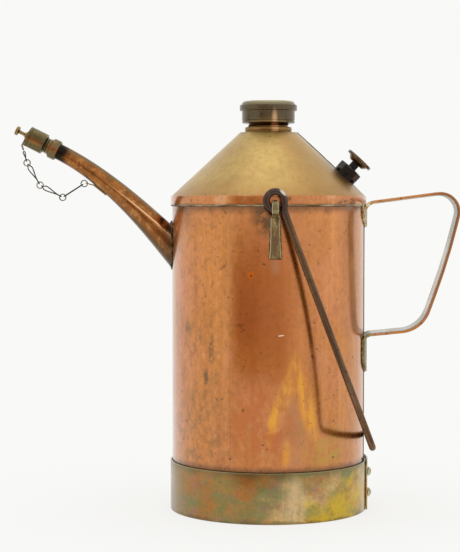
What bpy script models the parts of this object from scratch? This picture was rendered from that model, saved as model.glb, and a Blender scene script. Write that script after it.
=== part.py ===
"""Copper oil can with a brass cone top, a screw filler cap, a curved spout with a chained screw cap,
a vent screw, a strap handle and a swinging wire bail.

Metres, +Z up. The origin is the middle of the base. +X points to the strap handle, -X to the spout.
"""

import math

import bmesh
import bpy
from mathutils import Matrix, Vector

# Clearances that the whole can shares
SEAT_GAP = 0.0003
RUNNING_GAP = 0.0004
CUT_OVERRUN = 0.002

# Body tube and base
BODY_RADIUS = 0.072
BODY_WALL = 0.001
BODY_FOOT = 0.0005
BODY_TOP = 0.2336
BASE_SHEET = 0.0012
BASE_FLANGE_HEIGHT = 0.008
BASE_CORNER = 0.002

# Foot band: one strip whose end laps over its start at the handle side
FOOT_BAND_HEIGHT = 0.0368
FOOT_BAND_THICKNESS = 0.0011
FOOT_BAND_EDGE = 0.0003
FOOT_LAP_RISE = 0.0015
FOOT_LAP_START_DEG = 12.0
FOOT_LAP_END_DEG = -8.0
FOOT_LAP_RAMP_DEG = 16.0
FOOT_RIVET_HEIGHT_SHARES = (0.315, 0.742)
FOOT_RIVET_HEAD_RADIUS = 0.0034
FOOT_RIVET_HEAD_HEIGHT = 0.0025
FOOT_RIVET_SHANK_RADIUS = 0.0015

# Rim band round the body's top edge
RIM_BAND_HEIGHT = 0.0068
RIM_BAND_THICKNESS = 0.0009

# Brass cone
CONE_HEIGHT = 0.0473
CONE_WALL = 0.001
CONE_SKIRT_HEIGHT = 0.009
CONE_LIP = 0.0004
CONE_LEDGE = 0.0037

# Filler neck
NECK_COLLAR_RADIUS = 0.0175
NECK_COLLAR_HEIGHT = 0.0036
NECK_EDGE = 0.0006
NECK_THREAD_RADIUS = 0.0154
NECK_WALL = 0.002
NECK_HEIGHT = 0.0176
NECK_ROOT = 0.0035

# Filler cap
FILLER_CAP_STAND = 0.003
FILLER_CAP_SKIRT_RADIUS = 0.0197
FILLER_CAP_SKIRT_HEIGHT = 0.0091
FILLER_CAP_SKIRT_EDGE = 0.0004
FILLER_CAP_FLANGE_RADIUS = 0.0214
FILLER_CAP_FLANGE_HEIGHT = 0.0046
FILLER_CAP_FLANGE_EDGE = 0.0008
FILLER_CAP_DOME_RADIUS = 0.0199
FILLER_CAP_CROWN_RADIUS = 0.0176
FILLER_CAP_DOME_HEIGHT = 0.0026
FILLER_GASKET_THICKNESS = 0.0015

# Vent screw and its boss on the cone
VENT_ALONG_SHARE = 0.306
VENT_BOSS_FOOT_RADIUS = 0.0093
VENT_BOSS_FOOT_HEIGHT = 0.003
VENT_BOSS_CORNER_RADIUS = 0.0095
VENT_BOSS_HEIGHT = 0.0084
VENT_BOSS_EDGE = 0.0009
VENT_BOSS_FLOOR = 0.002
VENT_BOSS_SIDES = 6
VENT_PORT_RADIUS = 0.0016
VENT_STEM_RADIUS = 0.0032
VENT_STEM_SHOWN = 0.0045
VENT_COLLAR_RADIUS = 0.008
VENT_COLLAR_FOOT_RADIUS = 0.0058
VENT_COLLAR_HEIGHT = 0.0028
VENT_KNOB_RADIUS = 0.01065
VENT_KNOB_HEIGHT = 0.0022
VENT_KNOB_EDGE = 0.0006
VENT_WASHER_THICKNESS = 0.001

# Spout: a tapered tube on one smooth curve, its heights measured from the body's top edge
SPOUT_TIP_REACH = 0.1577
SPOUT_TIP_RISE = 0.0341
SPOUT_TIP_DEG = 26.7
SPOUT_ROOT_INSET = 0.006
SPOUT_ROOT_DROP = 0.0431
SPOUT_ROOT_DEG = 47.5
SPOUT_BEND_SHARE = 0.333
SPOUT_TIP_RADIUS = 0.006
SPOUT_ROOT_RADIUS = 0.012
SPOUT_TAPER_POWER = 1.75
SPOUT_WALL = 0.0009
SPOUT_ROOT_RUN = 0.024

# Spout tip: a collar over the tube's end, and the threaded nose that the cap screws on
TIP_SOCKET_DEPTH = 0.0047
TIP_COLLAR_LENGTH = 0.0078
TIP_COLLAR_WALL = 0.00135
TIP_COLLAR_NECK_RADIUS = 0.0062
TIP_COLLAR_SHOULDER = 0.002
TIP_COLLAR_EDGE = 0.0006
TIP_NOSE_RADIUS = 0.006
TIP_NOSE_LENGTH = 0.0143
TIP_BORE_RADIUS = 0.0042

# Spout cap with its seal, stud and chain swivel
SPOUT_CAP_STAND = 0.0036
SPOUT_CAP_WALL = 0.0014
SPOUT_CAP_END = 0.0019
SPOUT_CAP_EDGE = 0.0006
SPOUT_SEAL_THICKNESS = 0.0012
STUD_STEM_RADIUS = 0.0013
STUD_STEM_LENGTH = 0.0074
STUD_FOOT_DEPTH = 0.001
STUD_WASHER_RADIUS = 0.0022
STUD_WASHER_HEIGHT = 0.0006
STUD_HEAD_RADIUS = 0.0035
STUD_HEAD_HEIGHT = 0.0025
STUD_HEAD_EDGE = 0.0008
SWIVEL_THICKNESS = 0.0008
SWIVEL_EYE_RADIUS = 0.0034
SWIVEL_HALF_WIDTH = 0.0016
SWIVEL_CAP_CLEARANCE = 0.0006
SWIVEL_BEND_DEG = 44.5
SWIVEL_BEND_RADIUS = 0.0008
SWIVEL_EAR_LENGTH = 0.0038

# Chain from the tab under the spout to the swivel
CHAIN_WIRE_RADIUS = 0.00045
CHAIN_RING_RADIUS = 0.0024
CHAIN_LINK_HALF_WIDTH = 0.0016
CHAIN_LINK_TURNS_DEG = (90, 180, 180, 0)
CHAIN_TURN_SHARE = 0.72
CHAIN_HANG_ALONG_SHARES = (0.169, 0.533, 0.849)
CHAIN_HANG_DROP_SHARES = (0.322, 0.331, 0.1485)
CHAIN_TAB_SHARE = 0.645
CHAIN_TAB_LENGTH = 0.0125
CHAIN_TAB_WIDTH = 0.0048
CHAIN_TAB_THICKNESS = 0.0008
CHAIN_TAB_SINK = 0.0015
CHAIN_EAR_LENGTH = 0.006
CHAIN_EAR_RISE_DEG = 15.0
CHAIN_EAR_TIP_RADIUS = 0.0016

# Strap handle
STRAP_HALF_WIDTH = 0.0135
STRAP_ROLL_RADIUS = 0.0013
STRAP_HALF_SHEET = 0.0006
STRAP_FOOT_HALF_WIDTH = 0.019
STRAP_FOOT_HALF_THICKNESS = 0.00085
STRAP_FOOT_FLAT_SHARE = 0.9
STRAP_FOOT_TIP_HALF_WIDTH = 0.004
STRAP_FOOT_ROUNDING = 0.011
STRAP_UPPER_FOOT = 0.0165
STRAP_LOWER_FOOT = 0.0275
STRAP_UPPER_DROP = 0.0055
STRAP_LOWER_HEIGHT = 0.1309
STRAP_UPPER_BEND = 0.007
STRAP_LOWER_BEND = 0.004
GRIP_TOP_REACH = 0.0733
GRIP_TOP_RISE = 0.0095
GRIP_TOP_BEND = 0.0135
GRIP_LOWER_REACH = 0.0421
GRIP_LOWER_RISE = 0.0042
GRIP_LOWER_BEND = 0.023
GRIP_BOW = 0.003
GRIP_BOW_BEND = 0.5

# Bail and its two ears
BAIL_WIRE_RADIUS = 0.00245
BAIL_EYE_RADIUS = 0.0064
BAIL_REACH = 0.1879
BAIL_CORNER = 0.0055
BAIL_NECK_BEND = 0.008
BAIL_EYE_EXIT_DEG = 21.5
BAIL_ARM_SHARE = 0.5
BAIL_PIVOT_DROP = 0.003
BAIL_PIVOT_OFFSET = 0.0058
EAR_PLY = 0.001
EAR_LOOP_WIDTH = 0.0046
EAR_LOOP_SLACK = 0.003
EAR_TAB_TOP_HALF_WIDTH = 0.0032
EAR_TAB_HALF_WIDTH = 0.0049
EAR_TAB_LENGTH = 0.0285
EAR_TAB_THICKNESS = 0.0022
EAR_TAB_EDGE = 0.0005

# How finely round shapes are faceted
BODY_SEGMENTS = 64
SMALL_SEGMENTS = 28
TINY_SEGMENTS = 16
SPOUT_SEGMENTS = 24
SPOUT_STEPS = 14
SMOOTH_ANGLE_DEG = 35.0
FLAT_ANGLE_DEG = 0.1
WELD_SHARE = 0.01

# Values that follow from the sizes above
BODY_BORE = BODY_RADIUS - BODY_WALL
BODY_FACE = BODY_RADIUS + SEAT_GAP
RIM_BAND_OUTER = BODY_FACE + RIM_BAND_THICKNESS
CONE_FOOT = BODY_TOP + SEAT_GAP
CONE_SHOULDER = CONE_FOOT + CONE_LIP
CONE_TOP = CONE_SHOULDER + CONE_HEIGHT
CONE_TOP_RADIUS = NECK_COLLAR_RADIUS + CONE_LEDGE
CONE_SLOPE = math.atan2(CONE_HEIGHT, BODY_RADIUS - CONE_TOP_RADIUS)
NECK_BORE_RADIUS = NECK_THREAD_RADIUS - NECK_WALL
NECK_SEAT = CONE_TOP + SEAT_GAP
NECK_TOP = NECK_SEAT + NECK_HEIGHT
FILLER_CAP_FOOT = NECK_SEAT + NECK_COLLAR_HEIGHT + FILLER_CAP_STAND
FILLER_CAP_BORE = NECK_THREAD_RADIUS + RUNNING_GAP
GASKET_FOOT = NECK_TOP + SEAT_GAP
FILLER_CAP_CEILING = GASKET_FOOT + FILLER_GASKET_THICKNESS + SEAT_GAP
TIP_SOCKET_RADIUS = SPOUT_TIP_RADIUS + SEAT_GAP
SPOUT_CAP_BORE = TIP_NOSE_RADIUS + RUNNING_GAP
SPOUT_CAP_RADIUS = SPOUT_CAP_BORE + SPOUT_CAP_WALL
SPOUT_CAP_FOOT = TIP_COLLAR_LENGTH + SPOUT_CAP_STAND
SPOUT_SEAL_FOOT = TIP_COLLAR_LENGTH + TIP_NOSE_LENGTH + SEAT_GAP
SPOUT_CAP_CEILING = SPOUT_SEAL_FOOT + SPOUT_SEAL_THICKNESS + SEAT_GAP
SPOUT_CAP_FACE = SPOUT_CAP_CEILING + SPOUT_CAP_END
SWIVEL_FOOT = SPOUT_CAP_FACE + SEAT_GAP
OPEN_PIVOT_INSET = SWIVEL_HALF_WIDTH + RUNNING_GAP + CHAIN_WIRE_RADIUS
PIVOT_HEIGHT = BODY_TOP - BAIL_PIVOT_DROP
BAIL_PLANE = RIM_BAND_OUTER + SEAT_GAP + EAR_PLY + RUNNING_GAP + BAIL_WIRE_RADIUS
BAIL_ARM_OFFSET = BAIL_ARM_SHARE * BAIL_EYE_RADIUS

X_AXIS = Vector((1, 0, 0))
Y_AXIS = Vector((0, 1, 0))
Z_AXIS = Vector((0, 0, 1))


# Scene, materials and objects


def clear_scene():
    for thing in list(bpy.data.objects):
        bpy.data.objects.remove(thing, do_unlink=True)


def make_material(name, colour, roughness, metallic):
    finish = bpy.data.materials.new(name)
    finish.use_nodes = True
    shader = finish.node_tree.nodes["Principled BSDF"]
    shader.inputs["Base Color"].default_value = (*colour, 1)
    shader.inputs["Roughness"].default_value = roughness
    shader.inputs["Metallic"].default_value = metallic
    finish.diffuse_color = (*colour, 1)
    return finish


def frame_at(origin, axis):
    """A matrix with Z along the axis from the origin, and Y along the world's Y."""
    z = Vector(axis).normalized()
    x = Y_AXIS.cross(z).normalized()
    return Matrix.Translation(origin) @ Matrix((x, z.cross(x), z)).transposed().to_4x4()


def add_piece(name, shape, finish, place=None, parent=None):
    """An object from a bmesh, shaded smooth where its faces meet gently."""
    mesh = bpy.data.meshes.new(name)
    bmesh.ops.recalc_face_normals(shape, faces=shape.faces)
    shape.to_mesh(mesh)
    shape.free()
    mesh.materials.append(finish)
    mesh.shade_smooth()
    mesh.set_sharp_from_angle(angle=math.radians(SMOOTH_ANGLE_DEG))
    piece = bpy.data.objects.new(name, mesh)
    bpy.context.scene.collection.objects.link(piece)
    piece.parent = parent
    if place:
        piece.matrix_local = place
    return piece


def add_wire(name, points, radius, resolution, finish, place=None, parent=None, closed=False):
    """A round wire along points: a bevelled curve, with flat caps unless it closes on itself."""
    curve = bpy.data.curves.new(name, "CURVE")
    curve.dimensions = "3D"
    curve.bevel_depth = radius
    curve.bevel_resolution = resolution
    curve.use_fill_caps = not closed
    spline = curve.splines.new("POLY")
    spline.points.add(len(points) - 1)
    for control, point in zip(spline.points, points):
        control.co = (*point, 1)
    spline.use_cyclic_u = closed
    spline.use_smooth = True
    curve.materials.append(finish)
    wire = bpy.data.objects.new(name, curve)
    bpy.context.scene.collection.objects.link(wire)
    wire.parent = parent
    if place:
        wire.matrix_local = place
    return wire


def add_axis(name, place):
    """An empty on a joint's axis, for the pieces that turn about it."""
    axis = bpy.data.objects.new(name, None)
    axis.empty_display_size = SPOUT_CAP_RADIUS
    bpy.context.scene.collection.objects.link(axis)
    axis.matrix_local = place
    return axis


def combine(piece, other, operation):
    """Cuts a piece with a helper or joins the helper to it; the helper stays as a wire outline."""
    change = piece.modifiers.new(f"{operation.lower()} {other.name}", "BOOLEAN")
    change.operation = operation
    change.solver = "EXACT"
    change.object = other
    other.hide_render = True
    other.display_type = "WIRE"


# Shapes


def smooth_step(share):
    share = min(max(share, 0), 1)
    return share * share * (3 - 2 * share)


def turned(profile, segments):
    """A closed solid turned round Z from the (radius, height) points round its section."""
    shape = bmesh.new()
    points = [shape.verts.new((radius, 0, height)) for radius, height in profile]
    edges = []
    for a, b in zip(points, points[1:] + points[:1]):
        if a.co.x > 0 or b.co.x > 0:
            edges.append(shape.edges.new((a, b)))
    bmesh.ops.spin(
        shape,
        geom=edges + points,
        cent=(0, 0, 0),
        axis=Z_AXIS,
        angle=math.tau,
        steps=segments,
        use_merge=True,
    )
    bmesh.ops.remove_doubles(shape, verts=shape.verts, dist=SEAT_GAP * WELD_SHARE)
    return shape


def rod(radius, start, end, segments=TINY_SEGMENTS):
    """A solid cylinder on Z between two heights."""
    return turned([(0, end), (radius, end), (radius, start), (0, start)], segments)


def loft(rings, closed=False):
    """Skins rings of points in order, with flat ends unless the last ring meets the first."""
    shape = bmesh.new()
    loops = [[shape.verts.new(point) for point in ring] for ring in rings]
    pairs = list(zip(loops, loops[1:]))
    if closed:
        pairs.append((loops[-1], loops[0]))
    for near, far in pairs:
        for i in range(len(near)):
            j = (i + 1) % len(near)
            shape.faces.new((near[i], near[j], far[j], far[i]))
    if not closed:
        shape.faces.new(reversed(loops[0]))
        shape.faces.new(loops[-1])
    return shape


def hull(points):
    """The convex solid round a set of points, its coplanar facets merged."""
    shape = bmesh.new()
    for point in points:
        shape.verts.new(point)
    found = bmesh.ops.convex_hull(shape, input=shape.verts)
    inside = {v for v in found["geom_interior"] + found["geom_unused"]}
    bmesh.ops.delete(
        shape, geom=[v for v in inside if isinstance(v, bmesh.types.BMVert)], context="VERTS"
    )
    bmesh.ops.dissolve_limit(
        shape, angle_limit=math.radians(FLAT_ANGLE_DEG), verts=shape.verts, edges=shape.edges
    )
    return shape


def slab(outline, half_depth):
    """The convex solid between an outline moved one way by half its depth and the other way."""
    return hull([p - half_depth for p in outline] + [p + half_depth for p in outline])


def circle_points(centre, radius, across, up, count=TINY_SEGMENTS):
    angles = [math.tau * i / count for i in range(count)]
    return [centre + radius * (math.cos(a) * across + math.sin(a) * up) for a in angles]


def arc_profile(centre, radius, start_deg, end_deg, steps):
    """Profile points along an arc round a (radius, height) centre."""
    angles = [math.radians(start_deg + (end_deg - start_deg) * i / steps) for i in range(steps + 1)]
    return [(centre[0] + radius * math.cos(a), centre[1] + radius * math.sin(a)) for a in angles]


def rounded_path(corners, radii, steps):
    """A path through corner points, each inner corner an arc; steps are counted per half turn."""
    path = [corners[0]]
    for before, corner, after, radius in zip(corners, corners[1:], corners[2:], radii):
        back = (before - corner).normalized()
        on = (after - corner).normalized()
        half = back.angle(on) / 2
        centre = corner + (back + on).normalized() * radius / math.sin(half)
        spoke = corner + back * radius / math.tan(half) - centre
        normal = back.cross(on).normalized()
        swept = math.pi - 2 * half
        count = max(2, math.ceil(steps * swept / math.pi))
        for i in range(count + 1):
            path.append(centre + Matrix.Rotation(-swept * i / count, 3, normal) @ spoke)
    path.append(corners[-1])
    return path


# Body, base and bands


def body_shell(finish):
    section = [
        (BODY_RADIUS, BODY_TOP),
        (BODY_RADIUS, BODY_FOOT),
        (BODY_BORE, BODY_FOOT),
        (BODY_BORE, BODY_TOP),
    ]
    shell = add_piece("body_shell", turned(section, BODY_SEGMENTS), finish)
    rings = spout_rings(-SPOUT_WALL, SPOUT_ROOT_RUN, 0)
    bore = add_piece("cut_spout_bore", loft(rings[: SPOUT_STEPS // 2]), finish)
    combine(shell, bore, "DIFFERENCE")


def body_face_plug(name, finish):
    """The body's outside as a solid with a seating gap, which trims pieces to lie on it."""
    return add_piece(name, rod(BODY_FACE, BODY_FOOT, BODY_TOP, BODY_SEGMENTS), finish)


def base_plate(finish):
    """A dish whose turned-up flange fits inside the body tube."""
    outer = BODY_BORE - SEAT_GAP
    inner = outer - BASE_SHEET
    profile = [
        (0, BASE_SHEET),
        (inner, BASE_SHEET),
        (inner, BASE_FLANGE_HEIGHT),
        (outer, BASE_FLANGE_HEIGHT),
    ]
    profile += arc_profile((outer - BASE_CORNER, BASE_CORNER), BASE_CORNER, 0, -90, 3)
    profile.append((0, 0))
    add_piece("base_plate", turned(profile, BODY_SEGMENTS), finish)


def foot_band_ring(angle_deg):
    """The strip's section at an angle; it steps outwards where its end laps over its start."""
    full_lap = FOOT_LAP_START_DEG - 360
    lap = smooth_step((full_lap + FOOT_LAP_RAMP_DEG - angle_deg) / FOOT_LAP_RAMP_DEG)
    inner = BODY_FACE + lap * (FOOT_BAND_THICKNESS + SEAT_GAP)
    outer = inner + FOOT_BAND_THICKNESS
    top = FOOT_BAND_HEIGHT + lap * FOOT_LAP_RISE
    edge = FOOT_BAND_EDGE
    section = [(inner, 0), (outer, 0), (outer, top - edge), (outer - edge, top), (inner, top)]
    angle = math.radians(angle_deg)
    return [(r * math.cos(angle), r * math.sin(angle), z) for r, z in section]


def foot_band(finish):
    """A strip wound once round the body, from its start to the free end of the lap."""
    sweep = 360 + FOOT_LAP_START_DEG - FOOT_LAP_END_DEG
    steps = math.ceil(sweep * BODY_SEGMENTS / 360)
    rings = [foot_band_ring(FOOT_LAP_START_DEG - sweep * i / steps) for i in range(steps + 1)]
    band = add_piece("foot_band", loft(rings), finish)
    for i, share in enumerate(FOOT_RIVET_HEIGHT_SHARES):
        hole = rod(FOOT_RIVET_SHANK_RADIUS + SEAT_GAP, -CUT_OVERRUN, 3 * CUT_OVERRUN)
        place = frame_at((BODY_RADIUS, 0, FOOT_BAND_HEIGHT * share), X_AXIS)
        combine(band, add_piece(f"cut_rivet_hole_{i + 1}", hole, finish, place), "DIFFERENCE")


def foot_rivets(finish):
    """Domed rivets through both layers of the lap, seated on its outer face."""
    seat = BODY_FACE + 2 * FOOT_BAND_THICKNESS + 2 * SEAT_GAP
    shank = 2 * FOOT_BAND_THICKNESS + SEAT_GAP
    dome_steps = 4
    profile = [(0, FOOT_RIVET_HEAD_HEIGHT)]
    for i in range(1, dome_steps + 1):
        angle = math.pi / 2 * (1 - i / dome_steps)
        radius = FOOT_RIVET_HEAD_RADIUS * math.cos(angle)
        profile.append((radius, FOOT_RIVET_HEAD_HEIGHT * math.sin(angle)))
    profile += [(FOOT_RIVET_SHANK_RADIUS, 0), (FOOT_RIVET_SHANK_RADIUS, -shank), (0, -shank)]
    for name, share in zip(("foot_rivet_lower", "foot_rivet_upper"), FOOT_RIVET_HEIGHT_SHARES):
        place = frame_at((seat, 0, FOOT_BAND_HEIGHT * share), X_AXIS)
        add_piece(name, turned(profile, TINY_SEGMENTS), finish, place)


def rim_band(finish):
    foot = CONE_SHOULDER - RIM_BAND_HEIGHT
    section = [
        (BODY_FACE, CONE_SHOULDER),
        (RIM_BAND_OUTER, CONE_SHOULDER),
        (RIM_BAND_OUTER, foot),
        (BODY_FACE, foot),
    ]
    add_piece("rim_band", turned(section, BODY_SEGMENTS), finish)


# Cone, neck and filler cap


def cone_point(share):
    """A point on the cone above +X, at a share of the slant from its foot, and the face's normal."""
    radius = BODY_RADIUS + (CONE_TOP_RADIUS - BODY_RADIUS) * share
    normal = Vector((math.sin(CONE_SLOPE), 0, math.cos(CONE_SLOPE)))
    return Vector((radius, 0, CONE_SHOULDER + CONE_HEIGHT * share)), normal


def shoulder_cone(finish):
    """The cone, its flat top round the neck, and the skirt that fits inside the body tube."""
    skirt_outer = BODY_BORE - SEAT_GAP
    skirt_inner = skirt_outer - CONE_WALL
    neck_hole = NECK_THREAD_RADIUS + SEAT_GAP
    inner_top_radius = CONE_TOP_RADIUS - CONE_WALL * math.tan(CONE_SLOPE / 2)
    inner_foot = CONE_SHOULDER - CONE_WALL / math.cos(CONE_SLOPE)
    inner_foot += (BODY_RADIUS - skirt_inner) * math.tan(CONE_SLOPE)
    profile = [
        (neck_hole, CONE_TOP),
        (CONE_TOP_RADIUS, CONE_TOP),
        (BODY_RADIUS, CONE_SHOULDER),
        (BODY_RADIUS, CONE_FOOT),
        (skirt_outer, CONE_FOOT),
        (skirt_outer, CONE_FOOT - CONE_SKIRT_HEIGHT),
        (skirt_inner, CONE_FOOT - CONE_SKIRT_HEIGHT),
        (skirt_inner, inner_foot),
        (inner_top_radius, CONE_TOP - CONE_WALL),
        (neck_hole, CONE_TOP - CONE_WALL),
    ]
    cone = add_piece("shoulder_cone", turned(profile, BODY_SEGMENTS), finish)
    port = rod(VENT_STEM_RADIUS, -CONE_WALL - CUT_OVERRUN, CUT_OVERRUN)
    place = frame_at(*cone_point(VENT_ALONG_SHARE))
    combine(cone, add_piece("cut_vent_port", port, finish, place), "DIFFERENCE")


def filler_neck(finish):
    """Threaded tube through the cone's top, with a collar that seats on it."""
    collar_top = NECK_SEAT + NECK_COLLAR_HEIGHT
    profile = [
        (NECK_BORE_RADIUS, NECK_TOP),
        (NECK_THREAD_RADIUS - NECK_EDGE, NECK_TOP),
        (NECK_THREAD_RADIUS, NECK_TOP - NECK_EDGE),
        (NECK_THREAD_RADIUS, collar_top),
        (NECK_COLLAR_RADIUS - NECK_EDGE, collar_top),
        (NECK_COLLAR_RADIUS, collar_top - NECK_EDGE),
        (NECK_COLLAR_RADIUS, NECK_SEAT),
        (NECK_THREAD_RADIUS, NECK_SEAT),
        (NECK_THREAD_RADIUS, NECK_SEAT - NECK_ROOT),
        (NECK_BORE_RADIUS, NECK_SEAT - NECK_ROOT),
    ]
    add_piece("filler_neck", turned(profile, SMALL_SEGMENTS), finish)


def filler_cap(finish, gasket_finish):
    """A cap with a straight skirt, a rounded flange and a low crown, and the gasket inside it."""
    foot = FILLER_CAP_FOOT
    flange_foot = foot + FILLER_CAP_SKIRT_HEIGHT
    flange_top = flange_foot + FILLER_CAP_FLANGE_HEIGHT
    edge = FILLER_CAP_FLANGE_EDGE
    skirt_edge = FILLER_CAP_SKIRT_EDGE
    profile = [(0, flange_top + FILLER_CAP_DOME_HEIGHT)]
    dome_steps = 3
    for i in range(dome_steps + 1):
        angle = math.pi / 2 * (1 - i / dome_steps)
        spread = FILLER_CAP_DOME_RADIUS - FILLER_CAP_CROWN_RADIUS
        radius = FILLER_CAP_CROWN_RADIUS + spread * math.cos(angle)
        profile.append((radius, flange_top + FILLER_CAP_DOME_HEIGHT * math.sin(angle)))
    profile += arc_profile((FILLER_CAP_FLANGE_RADIUS - edge, flange_top - edge), edge, 90, 0, 2)
    profile += arc_profile((FILLER_CAP_FLANGE_RADIUS - edge, flange_foot + edge), edge, 0, -90, 2)
    profile += [
        (FILLER_CAP_SKIRT_RADIUS, flange_foot),
        (FILLER_CAP_SKIRT_RADIUS, foot + skirt_edge),
        (FILLER_CAP_SKIRT_RADIUS - skirt_edge, foot),
        (FILLER_CAP_BORE, foot),
        (FILLER_CAP_BORE, FILLER_CAP_CEILING),
        (0, FILLER_CAP_CEILING),
    ]
    axis = add_axis("filler_cap_axis", Matrix.Identity(4))
    add_piece("filler_cap", turned(profile, SMALL_SEGMENTS), finish, parent=axis)
    gasket_top = GASKET_FOOT + FILLER_GASKET_THICKNESS
    disc = rod(FILLER_CAP_BORE - SEAT_GAP, GASKET_FOOT, gasket_top, SMALL_SEGMENTS)
    add_piece("filler_gasket", disc, gasket_finish, parent=axis)


# Vent


def vent_boss(finish):
    """A hexagon on a round foot, seated on the cone, with a bore for the screw and a small port."""
    place = frame_at(*cone_point(VENT_ALONG_SHARE))
    corner = VENT_BOSS_CORNER_RADIUS
    edge = VENT_BOSS_EDGE
    nut_foot = VENT_BOSS_FOOT_HEIGHT - VENT_BOSS_EDGE
    nut = [
        (0, VENT_BOSS_HEIGHT),
        (corner - edge, VENT_BOSS_HEIGHT),
        (corner, VENT_BOSS_HEIGHT - edge),
        (corner, nut_foot),
        (0, nut_foot),
    ]
    foot = rod(VENT_BOSS_FOOT_RADIUS, -CUT_OVERRUN, VENT_BOSS_FOOT_HEIGHT, SMALL_SEGMENTS)
    bore = rod(VENT_STEM_RADIUS + RUNNING_GAP, VENT_BOSS_FLOOR, VENT_BOSS_HEIGHT + CUT_OVERRUN)
    port = rod(VENT_PORT_RADIUS, -2 * CUT_OVERRUN, 2 * CUT_OVERRUN)
    rise = SEAT_GAP / math.cos(CONE_SLOPE)
    apex = CONE_SHOULDER + BODY_RADIUS * math.tan(CONE_SLOPE) + rise
    base = CONE_SHOULDER + rise
    cone_face = turned([(0, apex), (BODY_RADIUS, base), (0, base)], BODY_SEGMENTS)
    boss = add_piece("vent_boss", foot, finish, place)
    nut_piece = add_piece("join_vent_nut", turned(nut, VENT_BOSS_SIDES), finish, place)
    combine(boss, nut_piece, "UNION")
    combine(boss, add_piece("cut_vent_bore", bore, finish, place), "DIFFERENCE")
    combine(boss, add_piece("cut_boss_port", port, finish, place), "DIFFERENCE")
    combine(boss, add_piece("cut_cone_face", cone_face, finish), "DIFFERENCE")


def vent_screw(finish, washer_finish):
    """A wide knob over a smaller collar and a stem; the washer under the stem closes the port."""
    axis = add_axis("vent_axis", frame_at(*cone_point(VENT_ALONG_SHARE)))
    washer_foot = VENT_BOSS_FLOOR + SEAT_GAP
    washer_top = washer_foot + VENT_WASHER_THICKNESS
    collar_foot = VENT_BOSS_HEIGHT + VENT_STEM_SHOWN
    knob_foot = collar_foot + VENT_COLLAR_HEIGHT
    knob_top = knob_foot + VENT_KNOB_HEIGHT
    edge = VENT_KNOB_EDGE
    profile = [
        (0, knob_top),
        (VENT_KNOB_RADIUS - edge, knob_top),
        (VENT_KNOB_RADIUS, knob_top - edge),
        (VENT_KNOB_RADIUS, knob_foot),
        (VENT_COLLAR_RADIUS, knob_foot),
        (VENT_COLLAR_RADIUS, knob_foot - edge),
        (VENT_COLLAR_FOOT_RADIUS, collar_foot),
        (VENT_STEM_RADIUS, collar_foot),
        (VENT_STEM_RADIUS, washer_top + SEAT_GAP),
        (0, washer_top + SEAT_GAP),
    ]
    add_piece("vent_screw", turned(profile, SMALL_SEGMENTS), finish, parent=axis)
    washer = rod(VENT_STEM_RADIUS, washer_foot, washer_top)
    add_piece("vent_washer", washer, washer_finish, parent=axis)


# Spout, its tip and its cap


def spout_axis(share):
    """The centre, direction and outer radius at a share of the way from the root to the tip."""
    root_angle = math.radians(SPOUT_ROOT_DEG)
    tip_angle = math.radians(SPOUT_TIP_DEG)
    root = Vector((SPOUT_ROOT_INSET - BODY_RADIUS, 0, BODY_TOP - SPOUT_ROOT_DROP))
    tip = Vector((-SPOUT_TIP_REACH, 0, BODY_TOP + SPOUT_TIP_RISE))
    reach = (tip - root).length * SPOUT_BEND_SHARE
    leaving = root + Vector((-math.cos(root_angle), 0, math.sin(root_angle))) * reach
    arriving = tip - Vector((-math.cos(tip_angle), 0, math.sin(tip_angle))) * reach
    t, s = share, 1 - share
    centre = root * s**3 + leaving * 3 * s * s * t + arriving * 3 * s * t * t + tip * t**3
    way = (leaving - root) * s * s + (arriving - leaving) * 2 * s * t + (tip - arriving) * t * t
    radius = SPOUT_TIP_RADIUS + (SPOUT_ROOT_RADIUS - SPOUT_TIP_RADIUS) * s**SPOUT_TAPER_POWER
    return centre, way.normalized(), radius


def spout_rings(offset, root_run, tip_run):
    """Circles along the spout, its radius changed by an offset and its ends run on straight."""
    stations = [(0, -root_run)]
    stations += [(i / SPOUT_STEPS, 0) for i in range(SPOUT_STEPS + 1)]
    if tip_run:
        stations.append((1, tip_run))
    rings = []
    for share, run in stations:
        centre, way, radius = spout_axis(share)
        up = way.cross(Y_AXIS)
        rings.append(circle_points(centre + way * run, radius + offset, Y_AXIS, up, SPOUT_SEGMENTS))
    return rings


def spout(finish):
    """The tube with its bore, trimmed to the body's face and run into the tip's socket."""
    outer = spout_rings(0, SPOUT_ROOT_RUN, TIP_SOCKET_DEPTH)
    inner = spout_rings(-SPOUT_WALL, SPOUT_ROOT_RUN, TIP_SOCKET_DEPTH)
    tube = add_piece("spout", loft(outer + inner[::-1], closed=True), finish)
    combine(tube, body_face_plug("cut_body_face", finish), "DIFFERENCE")


def tip_frame():
    centre, way, radius = spout_axis(1)
    return frame_at(centre, way)


def spout_tip(finish):
    """A collar with a socket for the tube, and the bored nose that carries the thread."""
    collar = TIP_SOCKET_RADIUS + TIP_COLLAR_WALL
    nose_top = TIP_COLLAR_LENGTH + TIP_NOSE_LENGTH
    socket_top = TIP_SOCKET_DEPTH + SEAT_GAP
    edge = TIP_COLLAR_EDGE
    shoulder = TIP_COLLAR_LENGTH - TIP_COLLAR_SHOULDER
    profile = [
        (TIP_BORE_RADIUS, nose_top),
        (TIP_NOSE_RADIUS - edge, nose_top),
        (TIP_NOSE_RADIUS, nose_top - edge),
        (TIP_NOSE_RADIUS, TIP_COLLAR_LENGTH),
        (TIP_COLLAR_NECK_RADIUS, TIP_COLLAR_LENGTH),
        (collar - edge, shoulder + edge),
        (collar, shoulder - edge),
        (collar, edge),
        (collar - edge, 0),
        (TIP_SOCKET_RADIUS, 0),
        (TIP_SOCKET_RADIUS, socket_top),
        (TIP_BORE_RADIUS, socket_top),
    ]
    add_piece("spout_tip", turned(profile, SMALL_SEGMENTS), finish, tip_frame())


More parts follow.
